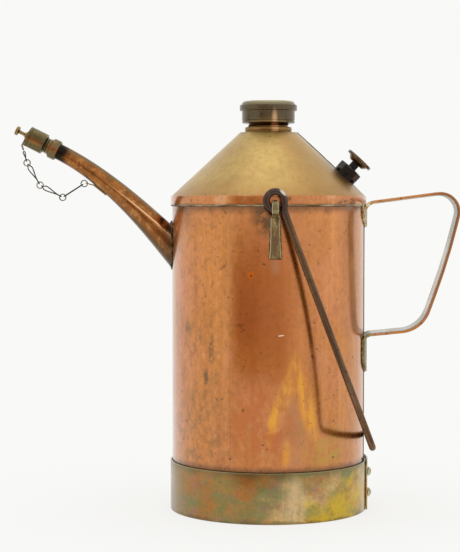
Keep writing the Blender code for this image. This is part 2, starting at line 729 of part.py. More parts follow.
def spout_cap(finish, seal_finish, axis):
    """A cap with a blind hole for the stud in its closed end, and the seal inside it."""
    face = SPOUT_CAP_FACE
    edge = SPOUT_CAP_EDGE
    stud_hole = STUD_STEM_RADIUS + SEAT_GAP
    hole_floor = face - STUD_FOOT_DEPTH - SEAT_GAP
    profile = [
        (0, hole_floor),
        (stud_hole, hole_floor),
        (stud_hole, face),
        (SPOUT_CAP_RADIUS - edge, face),
        (SPOUT_CAP_RADIUS, face - edge),
        (SPOUT_CAP_RADIUS, SPOUT_CAP_FOOT + edge),
        (SPOUT_CAP_RADIUS - edge, SPOUT_CAP_FOOT),
        (SPOUT_CAP_BORE, SPOUT_CAP_FOOT),
        (SPOUT_CAP_BORE, SPOUT_CAP_CEILING),
        (0, SPOUT_CAP_CEILING),
    ]
    add_piece("spout_cap", turned(profile, SMALL_SEGMENTS), finish, parent=axis)
    seal_top = SPOUT_SEAL_FOOT + SPOUT_SEAL_THICKNESS
    seal = rod(SPOUT_CAP_BORE - SEAT_GAP, SPOUT_SEAL_FOOT, seal_top)
    add_piece("spout_cap_seal", seal, seal_finish, parent=axis)


def spout_cap_stud(finish, axis):
    """A stud in the cap's end: a small washer that keeps the swivel on, a stem and a knob."""
    washer_foot = SWIVEL_FOOT + SWIVEL_THICKNESS + SEAT_GAP
    washer_top = washer_foot + STUD_WASHER_HEIGHT
    head_foot = SPOUT_CAP_FACE + STUD_STEM_LENGTH
    head_top = head_foot + STUD_HEAD_HEIGHT
    edge = STUD_HEAD_EDGE
    profile = [
        (0, head_top),
        (STUD_HEAD_RADIUS - edge, head_top),
        (STUD_HEAD_RADIUS, head_top - edge),
        (STUD_HEAD_RADIUS, head_foot + edge),
        (STUD_HEAD_RADIUS - edge, head_foot),
        (STUD_STEM_RADIUS, head_foot - edge),
        (STUD_STEM_RADIUS, washer_top + edge),
        (STUD_WASHER_RADIUS, washer_top),
        (STUD_WASHER_RADIUS, washer_foot),
        (STUD_STEM_RADIUS, washer_foot),
        (STUD_STEM_RADIUS, SPOUT_CAP_FACE - STUD_FOOT_DEPTH),
        (0, SPOUT_CAP_FACE - STUD_FOOT_DEPTH),
    ]
    add_piece("spout_cap_stud", turned(profile, TINY_SEGMENTS), finish, parent=axis)


def swivel_path():
    """The swivel's middle line in the cap's frame: across the stud, past the cap, then bent."""
    level = SWIVEL_FOOT + SWIVEL_THICKNESS / 2
    bend = math.radians(SWIVEL_BEND_DEG)
    corner = Vector((-SPOUT_CAP_RADIUS - SWIVEL_CAP_CLEARANCE, 0, level))
    tip = corner + Vector((-math.cos(bend), 0, -math.sin(bend))) * SWIVEL_EAR_LENGTH
    return Vector((SWIVEL_EYE_RADIUS, 0, level)), corner, tip


def swivel_hole():
    """The middle of the hole near the swivel's tip, which the last link points at."""
    start, corner, tip = swivel_path()
    return tip + (corner - tip).normalized() * SWIVEL_HALF_WIDTH


def chain_swivel(finish, axis):
    """A flat eye round the stud, narrowing to a bent ear past the cap's edge for the chain."""
    start, corner, tip = swivel_path()
    path = rounded_path([start, corner, tip], [SWIVEL_BEND_RADIUS], SMALL_SEGMENTS)
    eye = SWIVEL_EYE_RADIUS
    narrow = SWIVEL_HALF_WIDTH
    stations = []
    eye_steps = 8
    eye_end = math.pi - math.asin(narrow / eye)
    for i in range(1, eye_steps + 1):
        angle = eye_end * i / eye_steps
        stations.append((start - X_AXIS * eye * (1 - math.cos(angle)), eye * math.sin(angle)))
    stations += [(point, narrow) for point in path[1:-1]]
    back = (corner - tip).normalized()
    tip_steps = 4
    for i in range(tip_steps):
        angle = math.pi / 2 * (1 - i / tip_steps)
        stations.append((tip + back * narrow * (1 - math.cos(angle)), narrow * math.sin(angle)))
    rings = []
    for i, (centre, half_width) in enumerate(stations):
        before = stations[max(i - 1, 0)][0]
        after = stations[min(i + 1, len(stations) - 1)][0]
        lift = (after - before).normalized().cross(Y_AXIS) * SWIVEL_THICKNESS / 2
        side = Y_AXIS * half_width
        rings.append(
            [centre + side + lift, centre - side + lift, centre - side - lift, centre + side - lift]
        )
    swivel = add_piece("chain_swivel", loft(rings), finish, parent=axis)
    eye_hole = rod(STUD_STEM_RADIUS + SEAT_GAP, SWIVEL_FOOT - CUT_OVERRUN, SWIVEL_FOOT + CUT_OVERRUN)
    combine(swivel, add_piece("cut_swivel_eye", eye_hole, finish, parent=axis), "DIFFERENCE")
    ear_hole = rod(CHAIN_WIRE_RADIUS + RUNNING_GAP, -CUT_OVERRUN, CUT_OVERRUN)
    place = frame_at(swivel_hole(), back.cross(Y_AXIS))
    combine(swivel, add_piece("cut_swivel_ear", ear_hole, finish, place, axis), "DIFFERENCE")


# Chain


def tab_frame():
    """The chain tab's place under the spout: the point on the tube, and along and away from it."""
    centre, way, radius = spout_axis(CHAIN_TAB_SHARE)
    down = way.cross(Y_AXIS)
    return centre + down * (radius + SEAT_GAP), way, down


def ear_frame():
    """Where the tab's ear leaves the strip, and its direction."""
    seat, way, down = tab_frame()
    root = seat + way * CHAIN_TAB_LENGTH / 2 + down * CHAIN_TAB_THICKNESS / 2
    rise = math.radians(CHAIN_EAR_RISE_DEG)
    return root, Vector((-math.cos(rise), 0, math.sin(rise)))


def ear_hole_centre():
    root, ear_way = ear_frame()
    return root + ear_way * (CHAIN_EAR_LENGTH - CHAIN_EAR_TIP_RADIUS)


def chain_points():
    """The four ring centres from the tab to the cap, then the swivel's hole."""
    first = ear_hole_centre() - X_AXIS * CHAIN_RING_RADIUS
    last = tip_frame() @ swivel_hole()
    span = last - first
    fall = Vector((-span.z, 0, span.x))
    points = [first]
    for along, drop in zip(CHAIN_HANG_ALONG_SHARES, CHAIN_HANG_DROP_SHARES):
        points.append(first + span * along + fall * drop)
    return points + [last]


def chain_tab(finish):
    """A strip shaped to the tube's underside, with an ear that the first ring hangs in."""
    seat, way, down = tab_frame()
    half_width = Y_AXIS * CHAIN_TAB_WIDTH / 2
    corners = []
    for run in (-CHAIN_TAB_LENGTH / 2, CHAIN_TAB_LENGTH / 2):
        for depth in (-CHAIN_TAB_SINK, CHAIN_TAB_THICKNESS):
            corners.append(seat + way * run + down * depth)
    tab = add_piece("chain_tab", slab(corners, half_width), finish)
    root, ear_way = ear_frame()
    hole = ear_hole_centre()
    outline = circle_points(hole, CHAIN_EAR_TIP_RADIUS, ear_way, Y_AXIS)
    inset = root - ear_way * CHAIN_TAB_THICKNESS
    outline += [inset + half_width, inset - half_width]
    half_depth = ear_way.cross(Y_AXIS) * CHAIN_TAB_THICKNESS / 2
    combine(tab, add_piece("join_chain_ear", slab(outline, half_depth), finish), "UNION")
    tube = add_piece("cut_spout_face", loft(spout_rings(SEAT_GAP, 0, 0)), finish)
    combine(tab, tube, "DIFFERENCE")
    bore = rod(CHAIN_WIRE_RADIUS + RUNNING_GAP, -CUT_OVERRUN, CUT_OVERRUN)
    place = frame_at(hole, ear_way.cross(Y_AXIS))
    combine(tab, add_piece("cut_ear_hole", bore, finish, place), "DIFFERENCE")


def link_points(start, end, turn_deg, on_ring):
    """A long wire loop between two centres, turned about its length towards its far end.

    On a ring it reaches inside the ring's wire; otherwise it stops a running gap off the swivel's ear.
    """
    way = (end - start).normalized()
    inset = CHAIN_RING_RADIUS - 2 * CHAIN_WIRE_RADIUS - SEAT_GAP
    near = start + way * inset
    length = (end - near).length - (inset if on_ring else OPEN_PIVOT_INSET)
    side = way.cross(Y_AXIS)
    half = CHAIN_LINK_HALF_WIDTH

    def on_loop(along, across):
        share = along / length
        if share < CHAIN_TURN_SHARE:
            ramp = share / CHAIN_TURN_SHARE / 2
        else:
            ramp = 1 - (1 - share) / (1 - CHAIN_TURN_SHARE) / 2
        turn = math.radians(turn_deg) * smooth_step(ramp)
        return near + way * along + across * (math.cos(turn) * Y_AXIS + math.sin(turn) * side)

    end_steps = 4
    side_steps = 5
    loop = []
    for i in range(end_steps + 1):
        angle = math.pi * i / end_steps
        loop.append((length - half + half * math.sin(angle), half * math.cos(angle)))
    for i in range(1, side_steps):
        loop.append((length - half - (length - 2 * half) * i / side_steps, -half))
    for i in range(end_steps + 1):
        angle = math.pi * i / end_steps
        loop.append((half - half * math.sin(angle), -half * math.cos(angle)))
    for i in range(1, side_steps):
        loop.append((half + (length - 2 * half) * i / side_steps, half))
    return [on_loop(along, across) for along, across in loop]


def chain(finish):
    """Four rings and four links, numbered from the swivel to the tab."""
    points = chain_points()
    count = len(points) - 1
    for i in range(count):
        number = count - i
        centre = points[i]
        axis = add_axis(f"chain_{number}_axis", Matrix.Translation(centre))
        ring = circle_points(Vector(), CHAIN_RING_RADIUS, X_AXIS, Z_AXIS)
        add_wire(f"chain_ring_{number}", ring, CHAIN_WIRE_RADIUS, 1, finish, parent=axis, closed=True)
        turn = CHAIN_LINK_TURNS_DEG[number - 1]
        loop = [p - centre for p in link_points(centre, points[i + 1], turn, number > 1)]
        add_wire(f"chain_link_{number}", loop, CHAIN_WIRE_RADIUS, 1, finish, parent=axis, closed=True)


# Strap handle


def strap_section(half_width, roll, half_sheet):
    """The strap's (across, thickness) points: two rolled edges with a thin web between them."""
    roll_steps = 4
    web_steps = 5
    start = math.asin(half_sheet / roll)
    web_edge = half_width - roll - roll * math.cos(start)
    points = []
    for side in (1, -1):
        for i in range(roll_steps + 1):
            angle = start - math.pi + (math.tau - 2 * start) * i / roll_steps
            across = half_width - roll + roll * math.cos(angle)
            points.append((side * across, side * roll * math.sin(angle)))
        for i in range(1, web_steps):
            points.append((side * web_edge * (1 - 2 * i / web_steps), side * half_sheet))
    return points


def foot_points(tip, root):
    """Path points along a foot, closest together at its rounded tip."""
    steps = 6
    return [tip + (root - tip) * (1 - math.cos(math.pi / 2 * i / steps)) for i in range(steps)]


def strap_path():
    """The strap's middle line in the XZ plane, from the lower foot's tip to the upper foot's."""
    face = BODY_FACE + STRAP_FOOT_HALF_THICKNESS
    upper = CONE_SHOULDER - STRAP_UPPER_DROP
    grip_top = Vector((BODY_RADIUS + GRIP_TOP_REACH, 0, upper + GRIP_TOP_RISE))
    grip_low = Vector((BODY_RADIUS + GRIP_LOWER_REACH, 0, STRAP_LOWER_HEIGHT + GRIP_LOWER_RISE))
    corners = [
        Vector((face, 0, STRAP_LOWER_HEIGHT - STRAP_LOWER_FOOT)),
        Vector((face, 0, STRAP_LOWER_HEIGHT)),
        grip_low,
        (grip_top + grip_low) / 2 + X_AXIS * GRIP_BOW,
        grip_top,
        Vector((face, 0, upper)),
        Vector((face, 0, upper - STRAP_UPPER_FOOT)),
    ]
    radii = [STRAP_LOWER_BEND, GRIP_LOWER_BEND, GRIP_BOW_BEND, GRIP_TOP_BEND, STRAP_UPPER_BEND]
    path = rounded_path(corners, radii, 12)
    return foot_points(path[0], path[1]) + path[1:-1] + foot_points(path[-1], path[-2])[::-1]


def handle_strap(finish):
    """The strap swept along its path, with feet that widen and wrap round the body."""
    path = strap_path()
    runs = [0]
    for a, b in zip(path, path[1:]):
        runs.append(runs[-1] + (b - a).length)
    rings = []
    for i, centre in enumerate(path):
        before = path[max(i - 1, 0)]
        after = path[min(i + 1, len(path) - 1)]
        normal = (after - before).normalized().cross(Y_AXIS)
        on_lower_foot = runs[i] < runs[-1] / 2
        run = runs[i] if on_lower_foot else runs[-1] - runs[i]
        foot = STRAP_LOWER_FOOT if on_lower_foot else STRAP_UPPER_FOOT
        bend = STRAP_LOWER_BEND if on_lower_foot else STRAP_UPPER_BEND
        off_body = smooth_step((run - foot + bend) / (2 * bend))
        tip_share = min(run / STRAP_FOOT_ROUNDING, 1)
        tip_half = STRAP_FOOT_TIP_HALF_WIDTH
        foot_half = tip_half + (STRAP_FOOT_HALF_WIDTH - tip_half) * math.sqrt(
            1 - (1 - tip_share) ** 2
        )
        half_width = foot_half + (STRAP_HALF_WIDTH - foot_half) * off_body
        roll = STRAP_FOOT_HALF_THICKNESS
        sheet = roll * STRAP_FOOT_FLAT_SHARE
        roll += (STRAP_ROLL_RADIUS - roll) * off_body
        sheet += (STRAP_HALF_SHEET - sheet) * off_body
        ring = []
        for across, depth in strap_section(half_width, roll, sheet):
            wrap = centre.x - math.sqrt(centre.x**2 - across**2)
            ring.append(centre + Y_AXIS * across + normal * depth - X_AXIS * wrap * (1 - off_body))
        rings.append(ring)
    add_piece("handle_strap", loft(rings), finish)


# Bail and ears


def bail_rest_angle():
    """How far the arm hangs out from straight down when the bar lies against the body."""
    bar = BODY_FACE + BAIL_WIRE_RADIUS - BAIL_PIVOT_OFFSET
    swing = math.hypot(BAIL_REACH, BAIL_ARM_OFFSET)
    return math.asin(bar / swing) - math.atan2(BAIL_ARM_OFFSET, BAIL_REACH)


def bail(finish):
    """One wire with its origin on the pivot: an eye, an arm, the bar, and the same again."""
    exit_angle = math.radians(-BAIL_EYE_EXIT_DEG)
    eye = BAIL_EYE_RADIUS
    open_angle = math.acos((eye - BAIL_WIRE_RADIUS - SEAT_GAP) / (eye + BAIL_WIRE_RADIUS))
    eye_sweep = math.tau - open_angle
    eye_steps = 18
    plane = Y_AXIS * -BAIL_PLANE
    near_half = []
    for i in range(eye_steps):
        angle = exit_angle + eye_sweep * (1 - i / eye_steps)
        near_half.append(plane + eye * (math.cos(angle) * X_AXIS + math.sin(angle) * Z_AXIS))
    leave = eye * (math.cos(exit_angle) * X_AXIS + math.sin(exit_angle) * Z_AXIS)
    lead_way = math.sin(exit_angle) * X_AXIS - math.cos(exit_angle) * Z_AXIS
    lead = (BAIL_ARM_OFFSET - leave.x) / lead_way.x
    bar_middle = Vector((BAIL_ARM_OFFSET, 0, -BAIL_REACH))
    corners = [plane + leave, plane + leave + lead_way * lead, plane + bar_middle, bar_middle]
    near_half += rounded_path(corners, [BAIL_NECK_BEND, BAIL_CORNER], 12)[:-1]
    far_half = [Vector((p.x, -p.y, p.z)) for p in reversed(near_half)]
    pivot = Matrix.Translation((BAIL_PIVOT_OFFSET, 0, PIVOT_HEIGHT))
    place = pivot @ Matrix.Rotation(-bail_rest_angle(), 4, Y_AXIS)
    add_wire("bail", near_half + far_half, BAIL_WIRE_RADIUS, 2, finish, place)


def ear(name, side, finish):
    """A strap folded into a loop round the bail's eye, its two ends lying down as a tab."""
    out = Y_AXIS * side
    middle = X_AXIS * BAIL_PIVOT_OFFSET
    hold = BAIL_WIRE_RADIUS + RUNNING_GAP
    low = middle + out * BAIL_PLANE + Z_AXIS * (PIVOT_HEIGHT - BAIL_EYE_RADIUS)
    high = low + Z_AXIS * EAR_LOOP_SLACK
    tab_top = low.z - hold - EAR_PLY - EAR_TAB_THICKNESS
    tab_face = BODY_FACE + EAR_TAB_THICKNESS
    pinch = middle + out * (BODY_FACE + EAR_TAB_THICKNESS / 2) + Z_AXIS * tab_top
    outline = circle_points(low, hold + EAR_PLY, out, Z_AXIS)
    outline += circle_points(high, hold + EAR_PLY, out, Z_AXIS)
    outline += circle_points(pinch, EAR_TAB_THICKNESS / 2, out, Z_AXIS)
    loop = add_piece(name, slab(outline, X_AXIS * EAR_LOOP_WIDTH / 2), finish)
    corners = []
    for half_width, height, inward in (
        (EAR_TAB_TOP_HALF_WIDTH, tab_top, -1),
        (EAR_TAB_HALF_WIDTH, tab_top - EAR_TAB_LENGTH, 1),
    ):
        for edge in (-1, 1):
            for depth, bevel in (
                (BODY_FACE - CUT_OVERRUN, 0),
                (tab_face - EAR_TAB_EDGE, 0),
                (tab_face, EAR_TAB_EDGE),
            ):
                across = middle + X_AXIS * edge * (half_width - bevel)
                corners.append(across + out * depth + Z_AXIS * (height + inward * bevel))
    combine(loop, add_piece(f"join_{name}_tab", hull(corners), finish), "UNION")
    hole = circle_points(low, hold, out, Z_AXIS) + circle_points(high, hold, out, Z_AXIS)
    slot = add_piece(f"cut_{name}_slot", slab(hole, X_AXIS * EAR_LOOP_WIDTH), finish)
    combine(loop, slot, "DIFFERENCE")
    combine(loop, body_face_plug(f"cut_{name}_face", finish), "DIFFERENCE")


def build():
    clear_scene()
    copper = make_material("worn_copper", (0.62, 0.29, 0.14), 0.32, 1)
    brass = make_material("satin_brass", (0.60, 0.43, 0.20), 0.38, 1)
    tarnished_brass = make_material("tarnished_brass", (0.34, 0.28, 0.13), 0.42, 1)
    bronze = make_material("dark_bronze", (0.17, 0.13, 0.08), 0.42, 1)
    iron = make_material("brown_iron", (0.13, 0.09, 0.07), 0.5, 1)
    tinned = make_material("tinned_brass", (0.38, 0.35, 0.22), 0.45, 1)
    wire = make_material("bright_wire", (0.45, 0.43, 0.40), 0.35, 1)
    leather = make_material("brown_leather", (0.35, 0.22, 0.12), 0.9, 0)
    body_shell(copper)
    base_plate(copper)
    foot_band(tarnished_brass)
    foot_rivets(tinned)
    rim_band(copper)
    shoulder_cone(brass)
    filler_neck(brass)
    filler_cap(bronze, leather)
    vent_boss(bronze)
    vent_screw(bronze, leather)
    spout(copper)
    spout_tip(tarnished_brass)
    cap_axis = add_axis("spout_cap_axis", tip_frame())
    spout_cap(tarnished_brass, leather, cap_axis)
    spout_cap_stud(brass, cap_axis)
    chain_swivel(bronze, cap_axis)
    chain_tab(tarnished_brass)
    chain(wire)
    handle_strap(copper)
    bail(iron)
    ear("ear_front", -1, tinned)
    ear("ear_back", 1, tinned)


build()
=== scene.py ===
"""An old copper oil can in its worn metals, on a pale studio floor.

Metres, +Z up. The origin is the middle of the base. +X points to the strap handle, -X to the spout.
"""

import math
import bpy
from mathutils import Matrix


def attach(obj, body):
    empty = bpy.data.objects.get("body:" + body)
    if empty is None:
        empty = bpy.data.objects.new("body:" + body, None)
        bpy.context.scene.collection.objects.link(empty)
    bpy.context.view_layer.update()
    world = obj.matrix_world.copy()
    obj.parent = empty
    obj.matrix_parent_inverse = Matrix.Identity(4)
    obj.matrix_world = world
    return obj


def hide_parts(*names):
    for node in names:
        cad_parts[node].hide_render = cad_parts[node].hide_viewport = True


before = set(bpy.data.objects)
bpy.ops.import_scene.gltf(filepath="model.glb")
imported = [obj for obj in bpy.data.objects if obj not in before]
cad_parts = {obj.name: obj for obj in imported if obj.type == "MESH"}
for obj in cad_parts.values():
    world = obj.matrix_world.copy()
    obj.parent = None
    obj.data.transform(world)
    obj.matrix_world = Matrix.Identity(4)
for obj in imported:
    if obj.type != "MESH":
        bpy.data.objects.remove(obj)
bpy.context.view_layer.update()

from types import SimpleNamespace

import bmesh
import bpy
from bpy.props import FloatProperty, FloatVectorProperty, IntProperty, PointerProperty
from mathutils import Matrix, Vector, noise

bl_info = {
    "name": "Old Copper Oil Can",
    "version": (1, 0, 0),
    "blender": (4, 5, 0),
    "location": "View3D > Sidebar > Oil Can",
    "description": "Models an old copper oil can with its chain, bail and screw caps",
    "category": "Add Mesh",
}

X_AXIS = Vector((1, 0, 0))
Y_AXIS = Vector((0, 1, 0))
Z_AXIS = Vector((0, 0, 1))

# Clearances and how finely round pieces are turned
SEAT_GAP = 0.0003
RUNNING_GAP = 0.0004
WIDE_SEGMENTS = 192
SMALL_SEGMENTS = 96
TINY_SEGMENTS = 40

# Seeds the slow noise that pushes solder about, so that each run gives the same
SOLDER_SEED = 7

# The bail's pivot: its offset to the handle side, its drop below the body's top, the wire's lead
PIVOT_OFFSET = 0.0058
PIVOT_DROP = 0.003
BAIL_LEAD = math.radians(-21.5)

# Heights along the spout's tip: its collar and threaded nose, then the screw cap's ceiling and face
TIP_COLLAR = 0.0078
TIP_TOP = TIP_COLLAR + 0.0143
TIP_PITCH = 0.00125
SEAL_SHEET = 0.0012
CAP_CEILING = TIP_TOP + SEAT_GAP + SEAL_SHEET + SEAT_GAP
CAP_FACE = CAP_CEILING + 0.0019

# The sheet of the chain's swivel and tab, their rounded ends and holes, and the swivel's bend
CHAIN_SHEET = 0.0008
CHAIN_END = 0.0016
CHAIN_HOLE = 0.00085
TAB_LENGTH = 0.00625
SWIVEL_TAIL = 0.0038
SWIVEL_BEND = math.radians(44.5)

# The strap's soldered feet: their lengths, bends and flattened edges
LOWER_BEND = 0.1309
LOWER_FOOT = 0.0275
UPPER_BEND_DROP = 0.0055
UPPER_FOOT = 0.0165
FOOT_ROLL = 0.00085
FOOT_TIP = 0.011


def painted(red, green, blue):
    """A display colour, 0 to 255 a channel, as the linear colour that a shader takes."""
    shares = (red / 255, green / 255, blue / 255)
    return tuple(s / 12.92 if s <= 0.04045 else ((s + 0.055) / 1.055) ** 2.4 for s in shares)


def darker(shade, share):
    return tuple(c * share for c in shade[:3])


BACKDROP = painted(249, 249, 247)


def length(name, description, default):
    traits = {"name": name, "description": description, "default": default}
    return FloatProperty(min=0.0, unit="LENGTH", **traits)


def slope(name, description, degrees):
    radians = math.radians(degrees)
    return FloatProperty(name=name, description=description, default=radians, subtype="ANGLE")


def colour(name, description, red, green, blue):
    shade = painted(red, green, blue)
    return FloatVectorProperty(
        name=name, description=description, default=shade, size=3, min=0, max=1, subtype="COLOR"
    )


class OilCanSizes(bpy.types.PropertyGroup):
    body_radius: length("Body radius", "Outside of the copper tube", 0.072)
    body_wall: length("Body wall", "Thickness of the copper tube", 0.001)
    body_foot: length("Body foot", "Height of the tube's lower edge", 0.0005)
    body_top: length("Body top", "Height of the tube's upper edge", 0.2336)
    foot_height: length("Foot band height", "Height of the brass strip round the foot", 0.0368)
    foot_sheet: length("Foot band sheet", "Thickness of the strip round the foot", 0.0011)
    foot_lap_rise: length("Foot lap rise", "How much taller the strip is at its lap", 0.0015)
    rivet_radius: length("Rivet radius", "Radius of a rivet's domed head", 0.0034)
    rivet_height: length("Rivet height", "Height of a rivet's domed head", 0.0025)
    rim_height: length("Rim band height", "Height of the copper band at the cone's foot", 0.0068)
    rim_sheet: length("Rim band sheet", "Thickness of the rim band", 0.0009)
    cone_height: length("Cone height", "From the cone's foot to its flat top", 0.0473)
    cone_wall: length("Cone wall", "Thickness of the brass cone", 0.001)
    cone_ledge: length("Cone ledge", "Flat ring round the neck's collar", 0.0037)
    neck_collar: length("Neck collar", "Radius of the neck's collar", 0.0175)
    neck_collar_height: length("Neck collar height", "Height of the neck's collar", 0.0036)
    neck_thread: length("Neck thread", "Outer radius of the neck's thread", 0.0154)
    neck_height: length("Neck height", "From the cone's top to the mouth", 0.0176)
    neck_pitch: length("Neck pitch", "Rise of the neck's thread in one turn", 0.002)
    cap_stand: length("Filler cap stand", "Thread shown under the filler cap", 0.003)
    cap_skirt: length("Filler cap skirt", "Radius of the filler cap's skirt", 0.0197)
    cap_skirt_height: length("Filler cap skirt height", "Height of the skirt", 0.0091)
    cap_flange: length("Filler cap flange", "Radius of the filler cap's flange", 0.0214)
    cap_flange_height: length("Filler cap flange height", "Height of the flange", 0.0046)
    cap_dome: length("Filler cap dome", "Radius of the crown's foot", 0.0199)
    cap_crown: length("Filler cap crown", "Radius of the crown's flat top", 0.0176)
    cap_dome_height: length("Filler cap dome height", "Height of the crown", 0.0026)
    spout_reach: length("Spout reach", "From the can's axis to the spout's tip", 0.1577)
    spout_rise: length("Spout rise", "From the body's top up to the tip", 0.0341)
    spout_root_drop: length("Spout root drop", "From the body's top down to the root", 0.0431)
    spout_root: length("Spout root", "Radius of the spout where it leaves the body", 0.012)
    spout_tip: length("Spout tip", "Radius of the spout at its tip", 0.006)
    spout_root_angle: slope("Spout root angle", "Rise of the spout at its root", 47.5)
    spout_tip_angle: slope("Spout tip angle", "Rise of the spout at its tip", 26.7)
    bail_wire: length("Bail wire", "Radius of the bail's wire", 0.00245)
    bail_eye: length("Bail eye", "Radius of the bail's eye at the wire's middle", 0.0064)
    bail_reach: length("Bail reach", "From the pivot to the bar", 0.1879)
    chain_wire: length("Chain wire", "Radius of the chain's wire", 0.00045)
    chain_ring: length("Chain ring", "Radius of a ring at the wire's middle", 0.0024)
    strap_half_width: length("Strap half width", "Half the width of the handle's strap", 0.0135)
    strap_roll: length("Strap roll", "Radius of the strap's rolled edges", 0.0013)
    ear_width: length("Ear width", "Width of the loop that holds the bail", 0.0046)
    ear_sheet: length("Ear sheet", "Thickness of the strip that an ear is folded from", 0.001)
    ear_length: length("Ear length", "Length of an ear's tab below the loop", 0.0285)


class OilCanColours(bpy.types.PropertyGroup):
    copper: colour("Copper", "Body and rim, where the metal is clean", 204, 128, 50)
    rosy_copper: colour("Rosy copper", "Pinker areas of the body", 206, 128, 72)
    brown_copper: colour("Brown copper", "Tarnish and smudges on copper", 124, 74, 28)
    gold_temper: colour("Gold temper", "Flame-like yellow patches low on the body", 232, 160, 40)
    spout_copper: colour("Spout copper", "Darker copper of the spout", 172, 106, 46)
    handle_copper: colour("Handle copper", "Outside of the strap handle", 200, 138, 92)
    brass: colour("Brass", "The cone", 204, 171, 100)
    old_brass: colour("Old brass", "Brown-green brass of the spout's cap and collar", 118, 100, 62)
    foot_brown: colour("Foot brown", "Brown part of the foot band", 174, 122, 54)
    foot_olive: colour("Foot olive", "Green-grey part of the foot band", 142, 130, 74)
    foot_rose: colour("Foot rose", "Pale rosy part of the foot band", 208, 172, 112)
    foot_gold: colour("Foot gold", "Yellow part of the foot band", 204, 170, 44)
    bronze: colour("Bronze", "Filler cap", 96, 80, 58)
    black_bronze: colour("Black bronze", "Vent boss and other blackened pieces", 34, 30, 26)
    iron: colour("Iron", "Brown skin of the bail", 100, 74, 46)
    tinned: colour("Tinned brass", "Ears and rivets", 160, 146, 106)
    wire: colour("Wire", "Nickel-grey chain", 172, 166, 150)
    solder: colour("Solder", "Grey solder along the joints", 186, 178, 150)
    leather: colour("Leather", "Gaskets and washers", 112, 76, 48)
    floor: colour("Floor", "Studio floor", 248, 248, 246)


def settings(context):
    return context.scene.oil_can_sizes, context.scene.oil_can_colours


# Places that several pieces share


def on_cone(size):
    foot = size.body_top + SEAT_GAP
    shoulder = foot + 0.0004
    top_radius = size.neck_collar + size.cone_ledge
    slant = math.atan2(size.cone_height, size.body_radius - top_radius)
    return SimpleNamespace(
        foot=foot,
        shoulder=shoulder,
        top=shoulder + size.cone_height,
        top_radius=top_radius,
        slant=slant,
    )


def frame_at(origin, axis):
    """A matrix with Z along the axis from the origin, and Y along the world's Y."""
    z = Vector(axis).normalized()
    x = Y_AXIS.cross(z).normalized()
    return Matrix.Translation(origin) @ Matrix((x, z.cross(x), z)).transposed().to_4x4()


def vent_place(size):
    cone = on_cone(size)
    along = 0.306
    radius = size.body_radius + (cone.top_radius - size.body_radius) * along
    origin = Vector((radius, 0, cone.shoulder + size.cone_height * along))
    return frame_at(origin, (math.sin(cone.slant), 0, math.cos(cone.slant)))


def spout_at(size, share):
    """The spout's centre, direction and radius at a share of the way from root to tip."""
    root = Vector((0.006 - size.body_radius, 0, size.body_top - size.spout_root_drop))
    tip = Vector((-size.spout_reach, 0, size.body_top + size.spout_rise))
    reach = (tip - root).length * 0.333
    leave, arrive = size.spout_root_angle, size.spout_tip_angle
    a = root + Vector((-math.cos(leave), 0, math.sin(leave))) * reach
    b = tip - Vector((-math.cos(arrive), 0, math.sin(arrive))) * reach
    t, s = share, 1 - share
    centre = root * s**3 + a * 3 * s * s * t + b * 3 * s * t * t + tip * t**3
    way = (a - root) * s * s + (b - a) * 2 * s * t + (tip - b) * t * t
    radius = size.spout_tip + (size.spout_root - size.spout_tip) * s**1.75
    return centre, way.normalized(), radius


def tip_place(size):
    return frame_at(*spout_at(size, 1)[:2])


def spout_cap_radius(size):
    return size.spout_tip + RUNNING_GAP + 0.0014


def smooth_step(share):
    share = min(max(share, 0), 1)
    return share * share * (3 - 2 * share)


def between(start, end, share):
    return start + (end - start) * share


def rounding(share):
    """Half the width of a round tip, as a share of the full half width, at a share of its depth."""
    return math.sqrt(1 - (1 - min(share, 1)) ** 2)


def crowded(i, count):
    """A share of the way that grows slowly at first, so that points crowd at the start."""
    return 1 - math.cos(math.pi / 2 * i / count)


# Modelling helpers


def fresh(shape):
    """Welds a mesh and points its faces outwards."""
    bmesh.ops.remove_doubles(shape, verts=shape.verts, dist=0.000003)
    bmesh.ops.recalc_face_normals(shape, faces=shape.faces)
    return shape


def eased(shape, width, steps=2, from_degrees=28):
    """Rounds every edge that turns more than an angle."""
    limit = math.radians(from_degrees)
    edges = [e for e in shape.edges if len(e.link_faces) == 2 and e.calc_face_angle(0) > limit]
    shaping = {"profile": 0.5, "affect": "EDGES", "clamp_overlap": True, "material": -1}
    bmesh.ops.bevel(shape, geom=edges, offset=width, segments=steps, **shaping)
    return shape


def looped(shape, points):
    """New points joined in a loop, and the edges between them."""
    verts = [shape.verts.new(point) for point in points]
    return verts, [shape.edges.new(pair) for pair in zip(verts, verts[1:] + verts[:1])]


def spun(profile, segments):
    """A solid turned round Z from the (radius, height) points round its section."""
    shape = bmesh.new()
    points = [shape.verts.new((radius, 0, height)) for radius, height in profile]
    edges = []
    for a, b in zip(points, points[1:] + points[:1]):
        if a.co.x > 0 or b.co.x > 0:
            edges.append(shape.edges.new((a, b)))
    turn = {"cent": (0, 0, 0), "axis": Z_AXIS, "angle": math.tau, "use_merge": True}
    bmesh.ops.spin(shape, geom=edges + points, steps=segments, **turn)
    return fresh(shape)


def threaded(root, crest, start, turns, pitch, segments):
    """A thread's ridge, wound round Z from a height."""
    shape = bmesh.new()
    half = pitch * 0.42
    section = [(root - 0.0002, -half), (crest, 0), (root - 0.0002, half)]
    points, edges = looped(shape, [(radius, 0, start + rise) for radius, rise in section])
    turn = {"cent": (0, 0, 0), "axis": Z_AXIS, "angle": math.tau * turns}
    steps = round(turns * segments)
    rise = (0, 0, pitch / segments)
    bmesh.ops.spin(shape, geom=edges + points, steps=steps, dvec=rise, **turn)
    bmesh.ops.holes_fill(shape, edges=shape.edges, sides=3)
    return fresh(shape)


